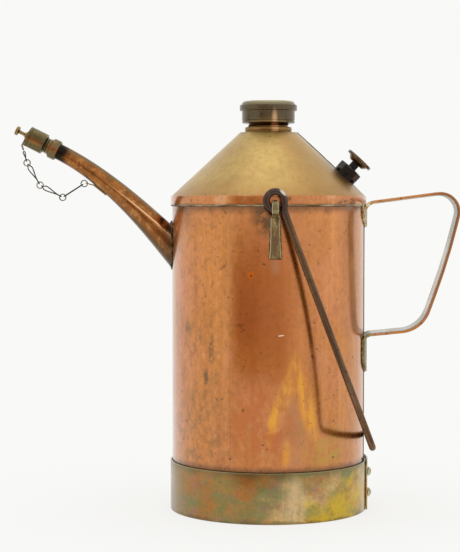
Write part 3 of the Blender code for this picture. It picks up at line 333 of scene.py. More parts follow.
def drawn(rings, closed=False, marks=None):
    """A ring of points drawn out through the rings that follow, its ends filled unless it closes.

    Marks hold one number for each point, which the finish reads as "across".
    """
    shape = bmesh.new()
    across = shape.verts.layers.float.new("across")
    first, edges = looped(shape, rings[0])
    loop = first
    for step, ring in enumerate(rings):
        if step:
            grown = bmesh.ops.extrude_edge_only(shape, edges=edges)["geom"]
            new = {v for v in grown if isinstance(v, bmesh.types.BMVert)}
            around = [[e.other_vert(v) for e in v.link_edges] for v in loop]
            loop = [next(v for v in near if v in new) for near in around]
            edges = [shape.edges.get(pair) for pair in zip(loop, loop[1:] + loop[:1])]
        for i, (vert, point) in enumerate(zip(loop, ring)):
            vert.co = point
            vert[across] = marks[step][i] if marks else 0.0
    if not closed:
        shape.faces.new(first)
        shape.faces.new(loop)
    return fresh(shape)


def flat_sheet(loops, cuts, thickness):
    """Sheet cut out along loops of points, and scored along (place, normal) planes for its bend."""
    shape = bmesh.new()
    edges = []
    for loop in loops:
        edges += looped(shape, loop)[1]
    bmesh.ops.triangle_fill(shape, edges=edges, use_beauty=True)
    for place, normal in cuts:
        geometry = shape.verts[:] + shape.edges[:] + shape.faces[:]
        bmesh.ops.bisect_plane(shape, geom=geometry, plane_co=place, plane_no=normal, dist=1e-7)
    bmesh.ops.recalc_face_normals(shape, faces=shape.faces)
    grown = bmesh.ops.extrude_face_region(shape, geom=shape.faces[:])["geom"]
    top = [v for v in grown if isinstance(v, bmesh.types.BMVert)]
    bmesh.ops.translate(shape, verts=top, vec=(0, 0, thickness))
    return shape


def wire(points, radius, roundness, closed):
    """A round wire along points, as a mesh."""
    curve = bpy.data.curves.new("wire_path", "CURVE")
    curve.dimensions = "3D"
    curve.bevel_depth = radius
    curve.bevel_resolution = roundness
    curve.use_fill_caps = not closed
    spline = curve.splines.new("POLY")
    spline.points.add(len(points) - 1)
    for control, point in zip(spline.points, points):
        control.co = (*point, 1)
    spline.use_cyclic_u = closed
    spline.use_smooth = True
    guide = bpy.data.objects.new("wire_guide", curve)
    mesh = bpy.data.meshes.new_from_object(guide)
    bpy.data.objects.remove(guide)
    bpy.data.curves.remove(curve)
    shape = bmesh.new()
    shape.from_mesh(mesh)
    bpy.data.meshes.remove(mesh)
    return fresh(shape)


def circle(centre, radius, across, up, count):
    angles = [math.tau * i / count for i in range(count)]
    return [centre + radius * (math.cos(a) * across + math.sin(a) * up) for a in angles]


def arc(centre, radius, start, end, steps):
    """Profile points along an arc round a (radius, height) centre, in degrees."""
    angles = [math.radians(start + (end - start) * i / steps) for i in range(steps + 1)]
    return [(centre[0] + radius * math.cos(a), centre[1] + radius * math.sin(a)) for a in angles]


def upper_edge(radius, top, rounded, steps):
    return arc((radius - rounded, top - rounded), rounded, 90, 0, steps)


def lower_edge(radius, foot, rounded, steps):
    return arc((radius - rounded, foot + rounded), rounded, 0, -90, steps)


def half_turn(start=0.0):
    """The cosine and sine of 13 angles along half a turn."""
    angles = [start + math.pi * i / 12 for i in range(13)]
    return [(math.cos(a), math.sin(a)) for a in angles]


def dome(flat, rim, foot, rise):
    """Profile points of a crown's quarter ellipse, from its flat top out to its rim."""
    angles = [math.pi / 2 * (1 - i / 12) for i in range(13)]
    return [(between(flat, rim, math.cos(a)), foot + rise * math.sin(a)) for a in angles]


def hoop(inner, outer, foot, top):
    return [(inner, top), (outer, top), (outer, foot), (inner, foot)]


def groove(radius, top, depth):
    """Profile points down a shallow groove turned in a wall."""
    floor = radius - depth
    return [(radius, top), (floor, top - 0.0002), (floor, top - 0.0005), (radius, top - 0.0007)]


def rounded_path(corners, radii, steps):
    """A path through corner points, each inner corner an arc; steps are counted per half turn."""
    path = [corners[0]]
    for before, corner, after, radius in zip(corners, corners[1:], corners[2:], radii):
        back = (before - corner).normalized()
        on = (after - corner).normalized()
        half = back.angle(on) / 2
        centre = corner + (back + on).normalized() * radius / math.sin(half)
        spoke = corner + back * radius / math.tan(half) - centre
        normal = back.cross(on).normalized()
        swept = math.pi - 2 * half
        count = max(3, math.ceil(steps * swept / math.pi))
        for i in range(count + 1):
            path.append(centre + Matrix.Rotation(-swept * i / count, 3, normal) @ spoke)
    path.append(corners[-1])
    return path


def evenly(path, spacing):
    """The same path with points added on its long straight runs."""
    dense = [path[0]]
    for a, b in zip(path, path[1:]):
        count = max(1, math.ceil((b - a).length / spacing))
        dense += [a.lerp(b, i / count) for i in range(1, count + 1)]
    return dense


def directions(path, closed=False):
    """The path's direction at each of its points."""
    ways = []
    count = len(path)
    for i in range(count):
        before = path[i - 1] if closed or i else path[0]
        after = path[(i + 1) % count] if closed or i < count - 1 else path[-1]
        ways.append((after - before).normalized())
    return ways


def rolling(points, amount, size):
    """Points pushed about by a slow noise, for hand-made solder."""
    noise.seed_set(SOLDER_SEED)
    return [p + noise.noise_vector(p / size) * amount for p in points]


def bead(path, radius, closed, lumps):
    """A run of solder along a path, its thickness uneven."""
    rings = []
    for i, (centre, way) in enumerate(zip(path, directions(path, closed))):
        side = way.cross(Z_AXIS if abs(way.z) < 0.9 else X_AXIS).normalized()
        swell = 1 + lumps * (noise.noise(centre * 180) + 0.6 * noise.noise(centre * 520))
        if not closed:
            swell *= 0.35 + 0.65 * math.sin(math.pi * (i + 0.5) / len(path)) ** 0.4
        rings.append(circle(centre, radius * swell, side, side.cross(way), 12))
    if closed:
        rings.append(rings[0])
    return drawn(rings, closed)


def mesh_from(name, shape, finish):
    mesh = bpy.data.meshes.new(name)
    shape.to_mesh(mesh)
    shape.free()
    mesh.materials.append(finish)
    return mesh


def linked(name, data):
    made = bpy.data.objects.new(name, data)
    bpy.context.scene.collection.objects.link(made)
    return made


def add_piece(name, shape, finish, body, stands_for=(), place=None, smooth=40):
    """A finished piece from a bmesh, with its place in its mesh, riding on a body."""
    if place:
        shape.transform(place)
    mesh = mesh_from(name, shape, finish)
    mesh.shade_smooth()
    mesh.set_sharp_from_angle(angle=math.radians(smooth))
    piece = linked(name, mesh)
    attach(piece, body)
    if stands_for:
        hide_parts(*stands_for)


def add_solder(name, path, finish, radius, lumps, closed=False):
    add_piece(name, bead(path, radius, closed, lumps), finish, "can", ())


# Finishes


class Nodes:
    """Builds up a node tree, each call giving back a socket to feed on."""

    def __init__(self, tree):
        self.tree = tree

    def node(self, kind, inputs=None, **traits):
        made = self.tree.nodes.new(kind)
        for key, value in traits.items():
            setattr(made, key, value)
        for key, value in (inputs or {}).items():
            self.feed(made.inputs[key], value)
        return made

    def feed(self, socket, value):
        if isinstance(value, bpy.types.NodeSocket):
            self.tree.links.new(value, socket)
        elif socket.type == "RGBA":
            socket.default_value = (*value[:3], 1)
        else:
            socket.default_value = value

    def where(self):
        return self.node("ShaderNodeTexCoord").outputs["Object"]

    def axis(self, name):
        return self.node("ShaderNodeSeparateXYZ", {"Vector": self.where()}).outputs[name]

    def math(self, operation, a, b=0.0):
        return self.node("ShaderNodeMath", {0: a, 1: b}, operation=operation).outputs[0]

    def times(self, a, b):
        return self.math("MULTIPLY", a, b)

    def plus(self, a, b):
        return self.math("ADD", a, b)

    def less(self, a, b):
        return self.math("SUBTRACT", a, b)

    def far(self, vector):
        return self.node("ShaderNodeVectorMath", {0: vector}, operation="LENGTH").outputs["Value"]

    def ramp(self, value, low, high, start=0.0, end=1.0):
        """A smooth change from start to end as a value goes from low to high."""
        inputs = {"Value": value, "From Min": low, "From Max": high, "To Min": start, "To Max": end}
        return self.node("ShaderNodeMapRange", inputs, interpolation_type="SMOOTHSTEP").outputs[0]

    def blended(self, factor, under, over):
        return self.node("ShaderNodeMixShader", {0: factor, 1: under, 2: over}).outputs[0]

    def shine(self, kind, colour=None, strength=None):
        """A shader of a kind with its colour and strength."""
        inputs = {"Color": colour, "Strength": strength}
        given = {key: value for key, value in inputs.items() if value is not None}
        return self.node(kind, given).outputs[0]

    def seen(self):
        """1 where a ray from the camera, a reflection or a clear piece lands."""
        path = self.node("ShaderNodeLightPath")
        total = path.outputs["Is Camera Ray"]
        for kind in ("Is Glossy Ray", "Is Transmission Ray"):
            total = self.math("MAXIMUM", total, path.outputs[kind])
        return total


def bare_material(name):
    """A material without its usual shader, its nodes and its surface socket."""
    material = bpy.data.materials.new(name)
    material.use_nodes = True
    tree = material.node_tree
    tree.nodes.remove(tree.nodes["Principled BSDF"])
    return material, Nodes(tree), tree.nodes["Material Output"].inputs["Surface"]


class Recipe(Nodes):
    """A metal's finish, laid on in layers from patterns on the piece's own coordinates."""

    def __init__(self, name, metallic=1.0):
        self.material = bpy.data.materials.new(name)
        self.material.use_nodes = True
        super().__init__(self.material.node_tree)
        self.shader = self.tree.nodes["Principled BSDF"]
        self.shader.inputs["Metallic"].default_value = metallic
        self.shade = None

    def moved(self, stretch, shift):
        inputs = {"Vector": self.where(), "Location": shift, "Scale": stretch}
        return self.node("ShaderNodeMapping", inputs).outputs["Vector"]

    def noise(self, scale, detail=4, roughness=0.55, stretch=(1, 1, 1), shift=(0, 0, 0), warp=0.0):
        inputs = {"Scale": scale, "Detail": detail, "Roughness": roughness, "Distortion": warp}
        inputs["Vector"] = self.moved(stretch, shift)
        return self.node("ShaderNodeTexNoise", inputs).outputs["Fac"]

    def plain_noise(self, vector, scale):
        inputs = {"Vector": vector, "Scale": scale, "Detail": 4.0}
        return self.node("ShaderNodeTexNoise", inputs).outputs["Fac"]

    def wavered(self, value, reach, *grain):
        """A value pushed about by a noise."""
        return self.plus(value, self.times(self.noise(*grain), reach))

    def angle(self):
        """The angle round the can's axis, 0 at the front and positive towards the handle."""
        return self.math("ARCTAN2", self.axis("X"), self.times(self.axis("Y"), -1.0))

    def band(self, value, middle, half, soft):
        """1 within half of a middle value, fading to 0 over a soft edge."""
        off = self.math("ABSOLUTE", self.less(value, middle))
        return self.ramp(off, half, half + soft, 1.0, 0.0)

    def leaning(self, centre, degrees, scale):
        """Coordinates from a centre, turned towards +X and measured by a scale."""
        turn = (0.0, math.radians(degrees), 0.0)
        inputs = {"Vector": self.where(), "Location": centre, "Rotation": turn, "Scale": scale}
        return self.node("ShaderNodeMapping", inputs, vector_type="TEXTURE").outputs["Vector"]

    def patch(self, centre, radii, tilt=0.0, core=0.25):
        """1 in the middle of an ellipsoid that leans by a tilt towards +X, 0 at its surface."""
        return self.ramp(self.far(self.leaning(centre, tilt, radii)), core, 1.0, 1.0, 0.0)

    def mark(self, name):
        """A number stored on the piece's points when it was modelled."""
        return self.node("ShaderNodeAttribute", attribute_name=name).outputs["Fac"]

    def bump(self, height, distance, strength=1.0, under=None):
        inputs = {"Height": height, "Distance": distance, "Strength": strength}
        if under:
            inputs["Normal"] = under
        return self.node("ShaderNodeBump", inputs).outputs["Normal"]

    def mix(self, factor, under, over):
        made = self.node("ShaderNodeMix", data_type="RGBA")
        for key, value in (("Factor", factor), ("A", under), ("B", over)):
            self.feed(made.inputs[key], value)
        return made.outputs["Result"]

    def lay(self, factor, shade):
        """Lays a linear colour over the shade so far."""
        self.shade = self.mix(factor, self.shade, shade)

    def paint(self, factor, ink):
        """Lays a display colour over the shade so far."""
        self.lay(factor, painted(*ink))

    def mottled(self, ink, low, high, most, *grain):
        """Paints where a noise rises from low to high."""
        self.paint(self.ramp(self.noise(*grain), low, high, 0.0, most), ink)

    def stain(self, ink, cover, centre, radii, tilt=0.0, core=0.25):
        """Paints an ellipsoid patch with a cover, and gives back how far it covers."""
        factor = self.times(self.patch(centre, radii, tilt, core), cover)
        self.paint(factor, ink)
        return factor

    def worn(self, clean, aged, dark, spots, spot_scale, grain):
        """The ground of the worn metals: slow drift of colour, mottling and dark specks."""
        drift = self.ramp(self.noise(22.0, 3), 0.35, 0.68)
        self.shade = self.mix(drift, clean, aged)
        self.lay(self.ramp(self.noise(grain, 5, 0.65), 0.40, 0.75, 0.0, 0.38), dark)
        specks = self.noise(spot_scale, 2, 0.5)
        self.lay(self.ramp(specks, spots, spots + 0.10, 0.0, 0.75), dark)
        return drift

    def sheen(self, scale, smooth, rough, detail=4):
        """A roughness that wanders between smooth and rough."""
        return self.ramp(self.noise(scale, detail), 0.3, 0.7, smooth, rough)

    def oiled(self, cover, roughness=0.12):
        """A thin clear skin of old lacquer or oil over the metal."""
        self.feed(self.shader.inputs["Coat Weight"], cover)
        self.feed(self.shader.inputs["Coat Roughness"], roughness)

    def done(self, roughness, normal, preview):
        self.feed(self.shader.inputs["Base Color"], self.shade)
        self.feed(self.shader.inputs["Roughness"], roughness)
        if normal:
            self.feed(self.shader.inputs["Normal"], normal)
        self.material.diffuse_color = (*preview, 1)
        return self.material


def body_copper(tone):
    r = Recipe("worn_body_copper")
    x, z, angle = r.axis("X"), r.axis("Z"), r.angle()
    brown = tone.brown_copper
    r.worn(tone.copper, tone.rosy_copper, brown, 0.68, 150.0, 300.0)
    # Faint upright streaks, and wipe marks all round
    streak = r.noise(150.0, 5, 0.65, (1.0, 1.0, 0.05), (0.2, 0.6, 0.0))
    r.paint(r.ramp(streak, 0.46, 0.68, 0.0, 0.30), (228, 156, 92))
    r.paint(r.ramp(streak, 0.46, 0.32, 0.0, 0.28), (168, 96, 34))
    spout_side = r.ramp(x, 0.0, -0.040, 0.35, 1.0)
    dust = r.noise(210.0, 7, 0.74, (1.0, 1.0, 0.7), (0.6, 0.4, 0.3), 0.3)
    r.paint(r.times(spout_side, r.ramp(dust, 0.50, 0.64, 0.0, 0.60)), (150, 96, 44))
    r.paint(r.times(spout_side, r.ramp(dust, 0.46, 0.34, 0.0, 0.45)), (232, 152, 100))
    r.mottled((172, 104, 42), 0.48, 0.72, 0.55, 24.0, 6, 0.66, (1.0, 1.0, 0.45), (0.7, 0.2, 0.4))
    r.mottled((214, 138, 92), 0.50, 0.68, 0.5, 38.0, 6, 0.7, (1.0, 1.0, 0.7), (0.1, 0.8, 0.2))
    # A warm, darker field high on the front
    r.stain((186, 98, 22), 0.55, (0.001, -0.072, 0.150), (0.040, 0.06, 0.088))
    # Temper colours low on the handle side: yellow tongues over a dull heart, green beside them
    dull = r.ramp(r.noise(80.0, 5, 0.65), 0.36, 0.6, 0.3, 0.9)
    r.stain((176, 128, 80), dull, (0.0195, -0.070, 0.066), (0.013, 0.05, 0.036))
    green = r.ramp(r.noise(100.0, 6, 0.7), 0.42, 0.60, 0.0, 0.75)
    r.stain((184, 148, 50), green, (0.0440, -0.0560, 0.0490), (0.026, 0.05, 0.026))
    flames = r.noise(95.0, 6, 0.68, (1.3, 1.3, 0.35), (0.3, 0.1, 0.2), 0.5)
    licks = r.ramp(flames, 0.40, 0.58, 0.10, 1.0)
    for centre, radii, tilt in (
        ((0.0100, -0.0715, 0.0860), (0.0075, 0.05, 0.036), 19.0),
        ((0.0280, -0.0670, 0.0850), (0.0075, 0.05, 0.038), -13.0),
        ((0.0195, -0.0700, 0.1060), (0.0065, 0.05, 0.020), 2.0),
        ((0.0030, -0.0720, 0.0690), (0.0045, 0.05, 0.016), 8.0),
        ((0.0140, -0.0710, 0.0500), (0.0050, 0.05, 0.013), 4.0),
    ):
        r.lay(r.times(r.times(r.patch(centre, radii, tilt), licks), 0.9), tone.gold_temper)
    # Brown smudges down the spout side, and mottled stains low on it
    patchy = r.ramp(r.noise(220.0, 5, 0.65), 0.36, 0.58, 0.0, 0.95)
    smudges = ((-0.058, 0.137, 0.011), (-0.040, 0.124, 0.015), (-0.044, 0.104, 0.009))
    for across, up, tall in smudges:
        place = (across, -math.sqrt(0.072**2 - across**2), up)
        r.stain((112, 78, 40), patchy, place, (0.0028, 0.02, tall))
    smear = r.ramp(r.noise(120.0, 6, 0.70, (1.0, 1.0, 0.55)), 0.48, 0.64, 0.0, 0.7)
    r.stain((148, 98, 44), smear, (-0.050, -0.052, 0.118), (0.024, 0.045, 0.066))
    blotch = r.ramp(r.noise(120.0, 6, 0.72), 0.44, 0.62, 0.0, 0.70)
    stains = r.stain((142, 102, 50), blotch, (-0.050, -0.048, 0.064), (0.040, 0.05, 0.048))
    rust = r.noise(80.0, 6, 0.72, (1.0, 1.0, 0.7), (0.5, 0.9, 0.1), 0.4)
    rusty = r.ramp(rust, 0.42, 0.60, 0.0, 0.75)
    r.stain((188, 98, 26), rusty, (-0.006, -0.072, 0.074), (0.042, 0.05, 0.056))
    # Dark lines where the bands are soldered on
    up = r.wavered(z, 0.006, 120.0, 4)
    r.lay(r.ramp(up, 0.0395, 0.0455, 0.8, 0.0), darker(brown, 0.5))
    r.lay(r.ramp(up, 0.2225, 0.2300, 0.0, 0.75), darker(brown, 0.5))
    # Grime round the front ear, and ashen metal below its tab
    grime = r.ramp(r.noise(150.0, 4, 0.6), 0.32, 0.54, 0.0, 0.9)
    r.stain((92, 60, 26), grime, (-0.001, -0.072, 0.218), (0.013, 0.03, 0.018))
    r.stain((190, 140, 104), 0.5, (0.0055, -0.072, 0.184), (0.005, 0.02, 0.008))
    # The tube's own seam on the front, and the dark soldered lap on the handle side
    r.lay(r.times(r.band(angle, -0.377, 0.0015, 0.005), 0.35), darker(brown, 0.8))
    lap_side = r.band(angle, 1.51, 0.125, 0.03)
    r.paint(r.times(lap_side, 0.9), (96, 82, 58))
    # Dark specks, one orange spot and one bright scratch
    specks = r.noise(380.0, 1, 0.3, (1, 1, 1), (0.3, 0.5, 0))
    r.lay(r.ramp(specks, 0.745, 0.775, 0.0, 0.75), darker(brown, 0.4))
    r.stain((226, 120, 0), 1.0, (-0.0116, -0.071, 0.1778), (0.0034, 0.02, 0.0034), 0.0, 0.4)
    r.stain((120, 60, 8), 1.0, (-0.0113, -0.071, 0.1774), (0.0010, 0.02, 0.0010), 0.0, 0.5)
    r.stain((250, 226, 200), 1.0, (0.0098, -0.0713, 0.1349), (0.0028, 0.02, 0.0006), -8.0, 0.6)
    rough = r.ramp(r.noise(26.0, 5, 0.6), 0.30, 0.72, 0.20, 0.31)
    rough = r.plus(r.plus(rough, r.times(stains, 0.12)), r.times(lap_side, 0.35))
    dents = r.bump(r.noise(13.0, 2, 0.4, (1.0, 1.0, 0.7)), 0.0007, 0.5)
    pits = r.bump(r.noise(700.0, 3, 0.6), 0.00004, 0.6, dents)
    lap = r.bump(r.ramp(angle, -0.381, -0.372), 0.0003, 0.5, pits)
    r.oiled(r.ramp(lap_side, 0.0, 1.0, 0.9, 0.0))
    return r.done(rough, lap, tone.copper)


def rim_copper(tone):
    r = Recipe("worn_rim_copper")
    drift = r.worn(tone.copper, tone.rosy_copper, tone.brown_copper, 0.60, 220.0, 420.0)
    edge = r.wavered(r.axis("Z"), 0.0025, 160.0, 3)
    r.lay(r.ramp(edge, 0.2285, 0.2305, 0.8, 0.0), darker(tone.brown_copper, 0.7))
    r.mottled((226, 170, 124), 0.54, 0.66, 0.5, 70.0, 4, 0.6, (1, 1, 1), (0.3, 0, 0))
    r.oiled(1.0)
    rough = r.ramp(drift, 0.0, 1.0, 0.2, 0.32)
    return r.done(rough, r.bump(r.noise(60.0, 3), 0.0004, 0.4), tone.copper)


def spout_finish(tone):
    """A painted highlight along its ridges, painted shade below the ridges and on its upper and
    lower sides, and scorched at both ends.
    """
    r = Recipe("dark_spout_copper")
    x, across = r.axis("X"), r.mark("across")
    off = r.plus(across, r.times(r.less(r.noise(120.0, 4), 0.5), 0.35))
    r.worn(tone.spout_copper, painted(160, 94, 36), painted(92, 60, 28), 0.58, 260.0, 420.0)
    r.mottled((128, 82, 36), 0.44, 0.60, 0.75, 130.0, 7, 0.74, (1, 1, 1), (0.4, 0, 0))
    r.mottled((204, 142, 76), 0.50, 0.64, 0.75, 160.0, 7, 0.74, (1, 1, 1), (0.2, 0.7, 0))
    # Painted shade below the ridge, mottled with orange, then painted shade darkening the tube's
    # upper and lower sides.
    low = r.times(r.ramp(off, -0.05, -0.40, 0.0, 0.7), r.ramp(x, -0.135, -0.100, 0.2, 1.0))
    r.paint(low, (140, 86, 40))
    blotch = r.ramp(r.noise(170.0, 6, 0.72, (1, 1, 1), (0.1, 0.5, 0)), 0.50, 0.64, 0.0, 0.75)
    r.paint(r.times(low, blotch), (206, 150, 86))
    r.paint(r.ramp(off, 0.62, 1.10, 0.0, 0.92), (108, 84, 50))
    r.paint(r.ramp(off, -0.80, -1.20, 0.0, 0.92), (98, 72, 40))
    # A painted highlight along the crease of the ridge.
    painted_crease_highlight = r.times(r.band(across, 0.02, 0.02, 0.09), r.ramp(x, -0.128, -0.090, 0.0, 1.0))
    r.paint(r.times(painted_crease_highlight, 0.85), (250, 196, 146))
    scorch = r.ramp(r.wavered(x, 0.018, 110.0, 4, 0.6), -0.1455, -0.1370, 1.0, 0.0)
    r.paint(scorch, (34, 26, 18))
    soot = r.ramp(r.wavered(x, 0.014, 110.0, 4, 0.6), -0.0745, -0.0650, 0.0, 0.75)
    r.paint(soot, (80, 56, 34))
    r.oiled(r.ramp(scorch, 0.0, 1.0, 0.35, 0.1))
    dents = r.bump(r.noise(45.0, 3), 0.0004, 0.4)
    return r.done(r.sheen(60.0, 0.2, 0.32), dents, tone.spout_copper)


def handle_finish(tone):
    """Copper outside, a thin wash of tin inside, and soldered feet."""
    r = Recipe("handle_copper")
    x, z, inner = r.axis("X"), r.axis("Z"), r.mark("across")
    r.worn(tone.handle_copper, tone.copper, tone.brown_copper, 0.60, 240.0, 520.0)
    tin = r.mix(r.ramp(r.noise(90.0, 3), 0.3, 0.7), painted(236, 235, 230), painted(214, 208, 194))
    tinned = r.ramp(inner, 0.42, 0.62)
    r.lay(tinned, tin)
    r.paint(r.ramp(inner, -0.55, -0.95, 0.0, 0.55), (140, 92, 50))
    grip = r.times(r.ramp(x, 0.112, 0.130), r.ramp(inner, 0.60, 0.40, 0.0, 0.75))
    r.paint(grip, (150, 94, 48))
    # Painted shade: a dark grey line along the inner edge in the upper and lower bends.
    high = r.times(r.ramp(x, 0.118, 0.128), r.ramp(z, 0.185, 0.215, 0.0, 0.7))
    painted_bend_shade = r.math("MAXIMUM", high, r.ramp(z, 0.152, 0.142, 0.0, 0.5))
    r.paint(r.times(r.band(inner, 0.66, 0.10, 0.10), painted_bend_shade), (84, 88, 84))
    foot = r.ramp(r.wavered(x, 0.003, 220.0, 3), 0.0768, 0.0790, 1.0, 0.0)
    lower = r.ramp(z, 0.150, 0.152, 1.0, 0.0)
    grain = r.noise(300.0, 4)
    gold = r.mix(r.ramp(grain, 0.40, 0.62), painted(222, 200, 156), painted(150, 118, 74))
    olive = r.mix(r.ramp(grain, 0.40, 0.75), painted(152, 136, 88), painted(104, 90, 58))
    r.lay(foot, r.mix(lower, gold, olive))
    r.oiled(0.3)
    rough = r.plus(r.sheen(60.0, 0.22, 0.34), r.times(tinned, 0.3))
    return r.done(rough, r.bump(r.noise(60.0, 3), 0.0003, 0.3), tone.handle_copper)


def cone_brass(tone):
    r = Recipe("satin_cone_brass")
    z, angle = r.axis("Z"), r.angle()
    r.worn(tone.brass, darker(tone.brass, 0.86), painted(140, 108, 60), 0.75, 160.0, 240.0)
    around = r.node("ShaderNodeCombineXYZ", {"X": angle, "Z": r.times(z, 3.0)}).outputs[0]
    r.paint(r.ramp(r.plain_noise(around, 14.0), 0.45, 0.75, 0.0, 0.22), (166, 128, 76))
    r.mottled((176, 132, 76), 0.48, 0.70, 0.40, 32.0, 4, 0.6, (1, 1, 1), (0.6, 0.2, 0.1))
    up = r.wavered(z, 0.014, 60.0, 4)
    r.paint(r.ramp(up, 0.2400, 0.2580, 0.55, 0.0), (160, 108, 60))
    # Painted shade: the side towards the handle darker and browner.
    r.paint(r.times(r.band(angle, 0.78, 0.30, 0.42), 0.42), (176, 128, 62))
    r.paint(r.ramp(up, 0.2850, 0.2900, 0.0, 0.5), (120, 90, 50))
    r.stain((124, 90, 46), 0.6, (0.050, -0.012, 0.250), (0.019, 0.022, 0.019))
    seam = r.band(angle, 1.51, 0.075, 0.03)
    r.paint(r.times(seam, 0.9), (92, 80, 56))
    r.mottled((96, 70, 42), 0.765, 0.79, 0.6, 330.0, 1, 0.3, (1, 1, 1), (0.2, 0.5, 0))
    r.oiled(r.ramp(seam, 0.0, 1.0, 0.35, 0.0), 0.25)
    dents = r.bump(r.noise(16.0, 2, 0.4), 0.0012, 0.5)
    pits = r.bump(r.noise(900.0, 3), 0.00003, 0.5, dents)
    return r.done(r.sheen(40.0, 0.34, 0.42), pits, tone.brass)


def neck_brass():
    r = Recipe("neck_brass")
    clean = painted(176, 138, 84)
    r.worn(clean, painted(150, 112, 66), painted(84, 56, 28), 0.6, 260.0, 500.0)
    r.paint(0.45, (110, 80, 44))
    r.paint(r.ramp(r.axis("Z"), 0.2852, 0.2862, 0.0, 0.8), (92, 60, 30))
    # A painted highlight down the front of the neck, right of the middle.
    r.stain((214, 164, 116), 0.8, (0.0050, -0.0150, 0.285), (0.0040, 0.02, 0.02))
    return r.done(0.3, r.bump(r.noise(400.0, 3), 0.0001, 0.5), clean)


def bronze_finish(name, clean, aged, dark, smooth, rough, wear_and_painted_light=(), edges=None, skin=0.4):
    """Aged bronze or brass; the patches hold the ink, cover, centre, radii and tilt of worn places,
    painted highlights and painted reflections.
    """
    r = Recipe(name)
    r.worn(clean, aged, dark, 0.62, 240.0, 480.0)
    for ink, cover, centre, radii, tilt in wear_and_painted_light:
        r.stain(ink, cover, centre, radii, tilt, 0.1)
    wear = r.ramp(r.node("ShaderNodeNewGeometry").outputs["Pointiness"], 0.53, 0.60, 0.0, 0.7)
    r.lay(wear, edges or tuple(min(c * 2.2, 1.0) for c in clean[:3]))
    r.oiled(skin, 0.2)
    return r.done(r.sheen(90.0, smooth, rough), r.bump(r.noise(500.0, 4), 0.00008, 0.6), clean)


def foot_brass(tone):
    """Brass with heat colours that change round the can."""
    r = Recipe("foot_band_brass")
    x, z = r.axis("X"), r.axis("Z")
    wander = r.times(r.less(r.noise(30.0, 5, 0.60, (1, 1, 1.8)), 0.5), 1.3)
    rise = r.times(r.less(0.016, z), 9.0)
    along = r.plus(r.plus(r.times(x, 1 / 0.148), wander), rise)
    r.shade = tone.foot_brown
    r.lay(r.ramp(along, -0.40, 0.0), tone.foot_olive)
    r.lay(r.ramp(along, -0.06, 0.26), tone.foot_rose)
    r.lay(r.ramp(along, 0.20, 0.50), tone.foot_gold)
    r.mottled((116, 126, 76), 0.42, 0.66, 0.75, 48.0, 5, 0.62, (1, 1, 1.4), (0.5, 0.3, 0.1), 0.3)
    r.mottled((178, 108, 40), 0.46, 0.68, 0.75, 58.0, 5, 0.62, (1, 1, 1.2), (0.9, 0.1, 0.6), 0.3)
    r.paint(r.times(r.ramp(x, -0.052, -0.070), 0.6), (132, 126, 86))
    r.mottled((160, 118, 104), 0.48, 0.68, 0.55, 84.0, 6, 0.68, (1, 1, 1.1), (0.1, 0.7, 0.3))
    gold = r.patch((0.046, -0.055, 0.005), (0.034, 0.05, 0.017), -32.0)
    r.lay(r.times(gold, r.ramp(r.noise(90.0, 5, 0.6), 0.34, 0.56, 0.3, 1.0)), tone.foot_gold)
    # Painted highlights: pale upright bars low on the front, right of the middle.
    painted_highlight_bars = r.ramp(r.noise(260.0, 4, 0.6, (1.0, 1.0, 0.1)), 0.40, 0.60, 0.2, 0.7)
    r.stain((222, 188, 142), painted_highlight_bars, (0.0185, -0.072, 0.016), (0.014, 0.04, 0.026))
    up = r.wavered(z, 0.010, 90.0, 4)
    r.paint(r.ramp(up, 0.0355, 0.0425, 0.0, 0.75), (104, 96, 60))
    r.paint(r.ramp(z, 0.0359, 0.0365, 0.0, 0.8), (150, 142, 98))
    r.paint(r.ramp(up, 0.0055, 0.0085, 0.6, 0.0), (96, 80, 50))
    r.mottled((92, 76, 48), 0.42, 0.72, 0.3, 420.0, 5, 0.7)
    r.paint(r.times(r.band(r.angle(), 1.365, 0.004, 0.010), 0.7), (110, 72, 42))
    r.oiled(0.45)
    dents = r.bump(r.noise(30.0, 3, 0.5), 0.0008, 0.5)
    pits = r.bump(r.noise(600.0, 4), 0.00006, 0.6, dents)
    return r.done(r.sheen(50.0, 0.22, 0.36), pits, tone.foot_olive)


def iron_finish(tone):
    """Brown iron with pale rubbed streaks that run along the wire."""
    r = Recipe("brown_iron_wire", 0.8)
    r.worn(tone.iron, painted(116, 82, 54), painted(40, 32, 26), 0.60, 320.0, 700.0)
    along = r.leaning((0, 0, 0), math.degrees(BAIL_LEAD), (1.0, 1.0, 14.0))
    grain = r.plain_noise(along, 420.0)
    streaks = r.ramp(grain, 0.54, 0.70, 0.0, 0.55)
    r.paint(streaks, (144, 122, 94))
    r.paint(r.ramp(grain, 0.46, 0.34, 0.0, 0.7), (52, 40, 32))
    r.paint(r.ramp(r.axis("Z"), 0.205, 0.225, 0.0, 0.7), (64, 52, 50))
    # A painted highlight on the upper right of the front eye.
    r.stain((214, 208, 200), 1.0, (0.0112, -0.0800, 0.2362), (0.0042, 0.01, 0.0016), 45.0, 0.3)
    r.oiled(0.12, 0.2)
    rough = r.ramp(streaks, 0.0, 0.75, 0.26, 0.42)
    return r.done(rough, r.bump(r.noise(650.0, 5, 0.65), 0.00012, 0.6), tone.iron)


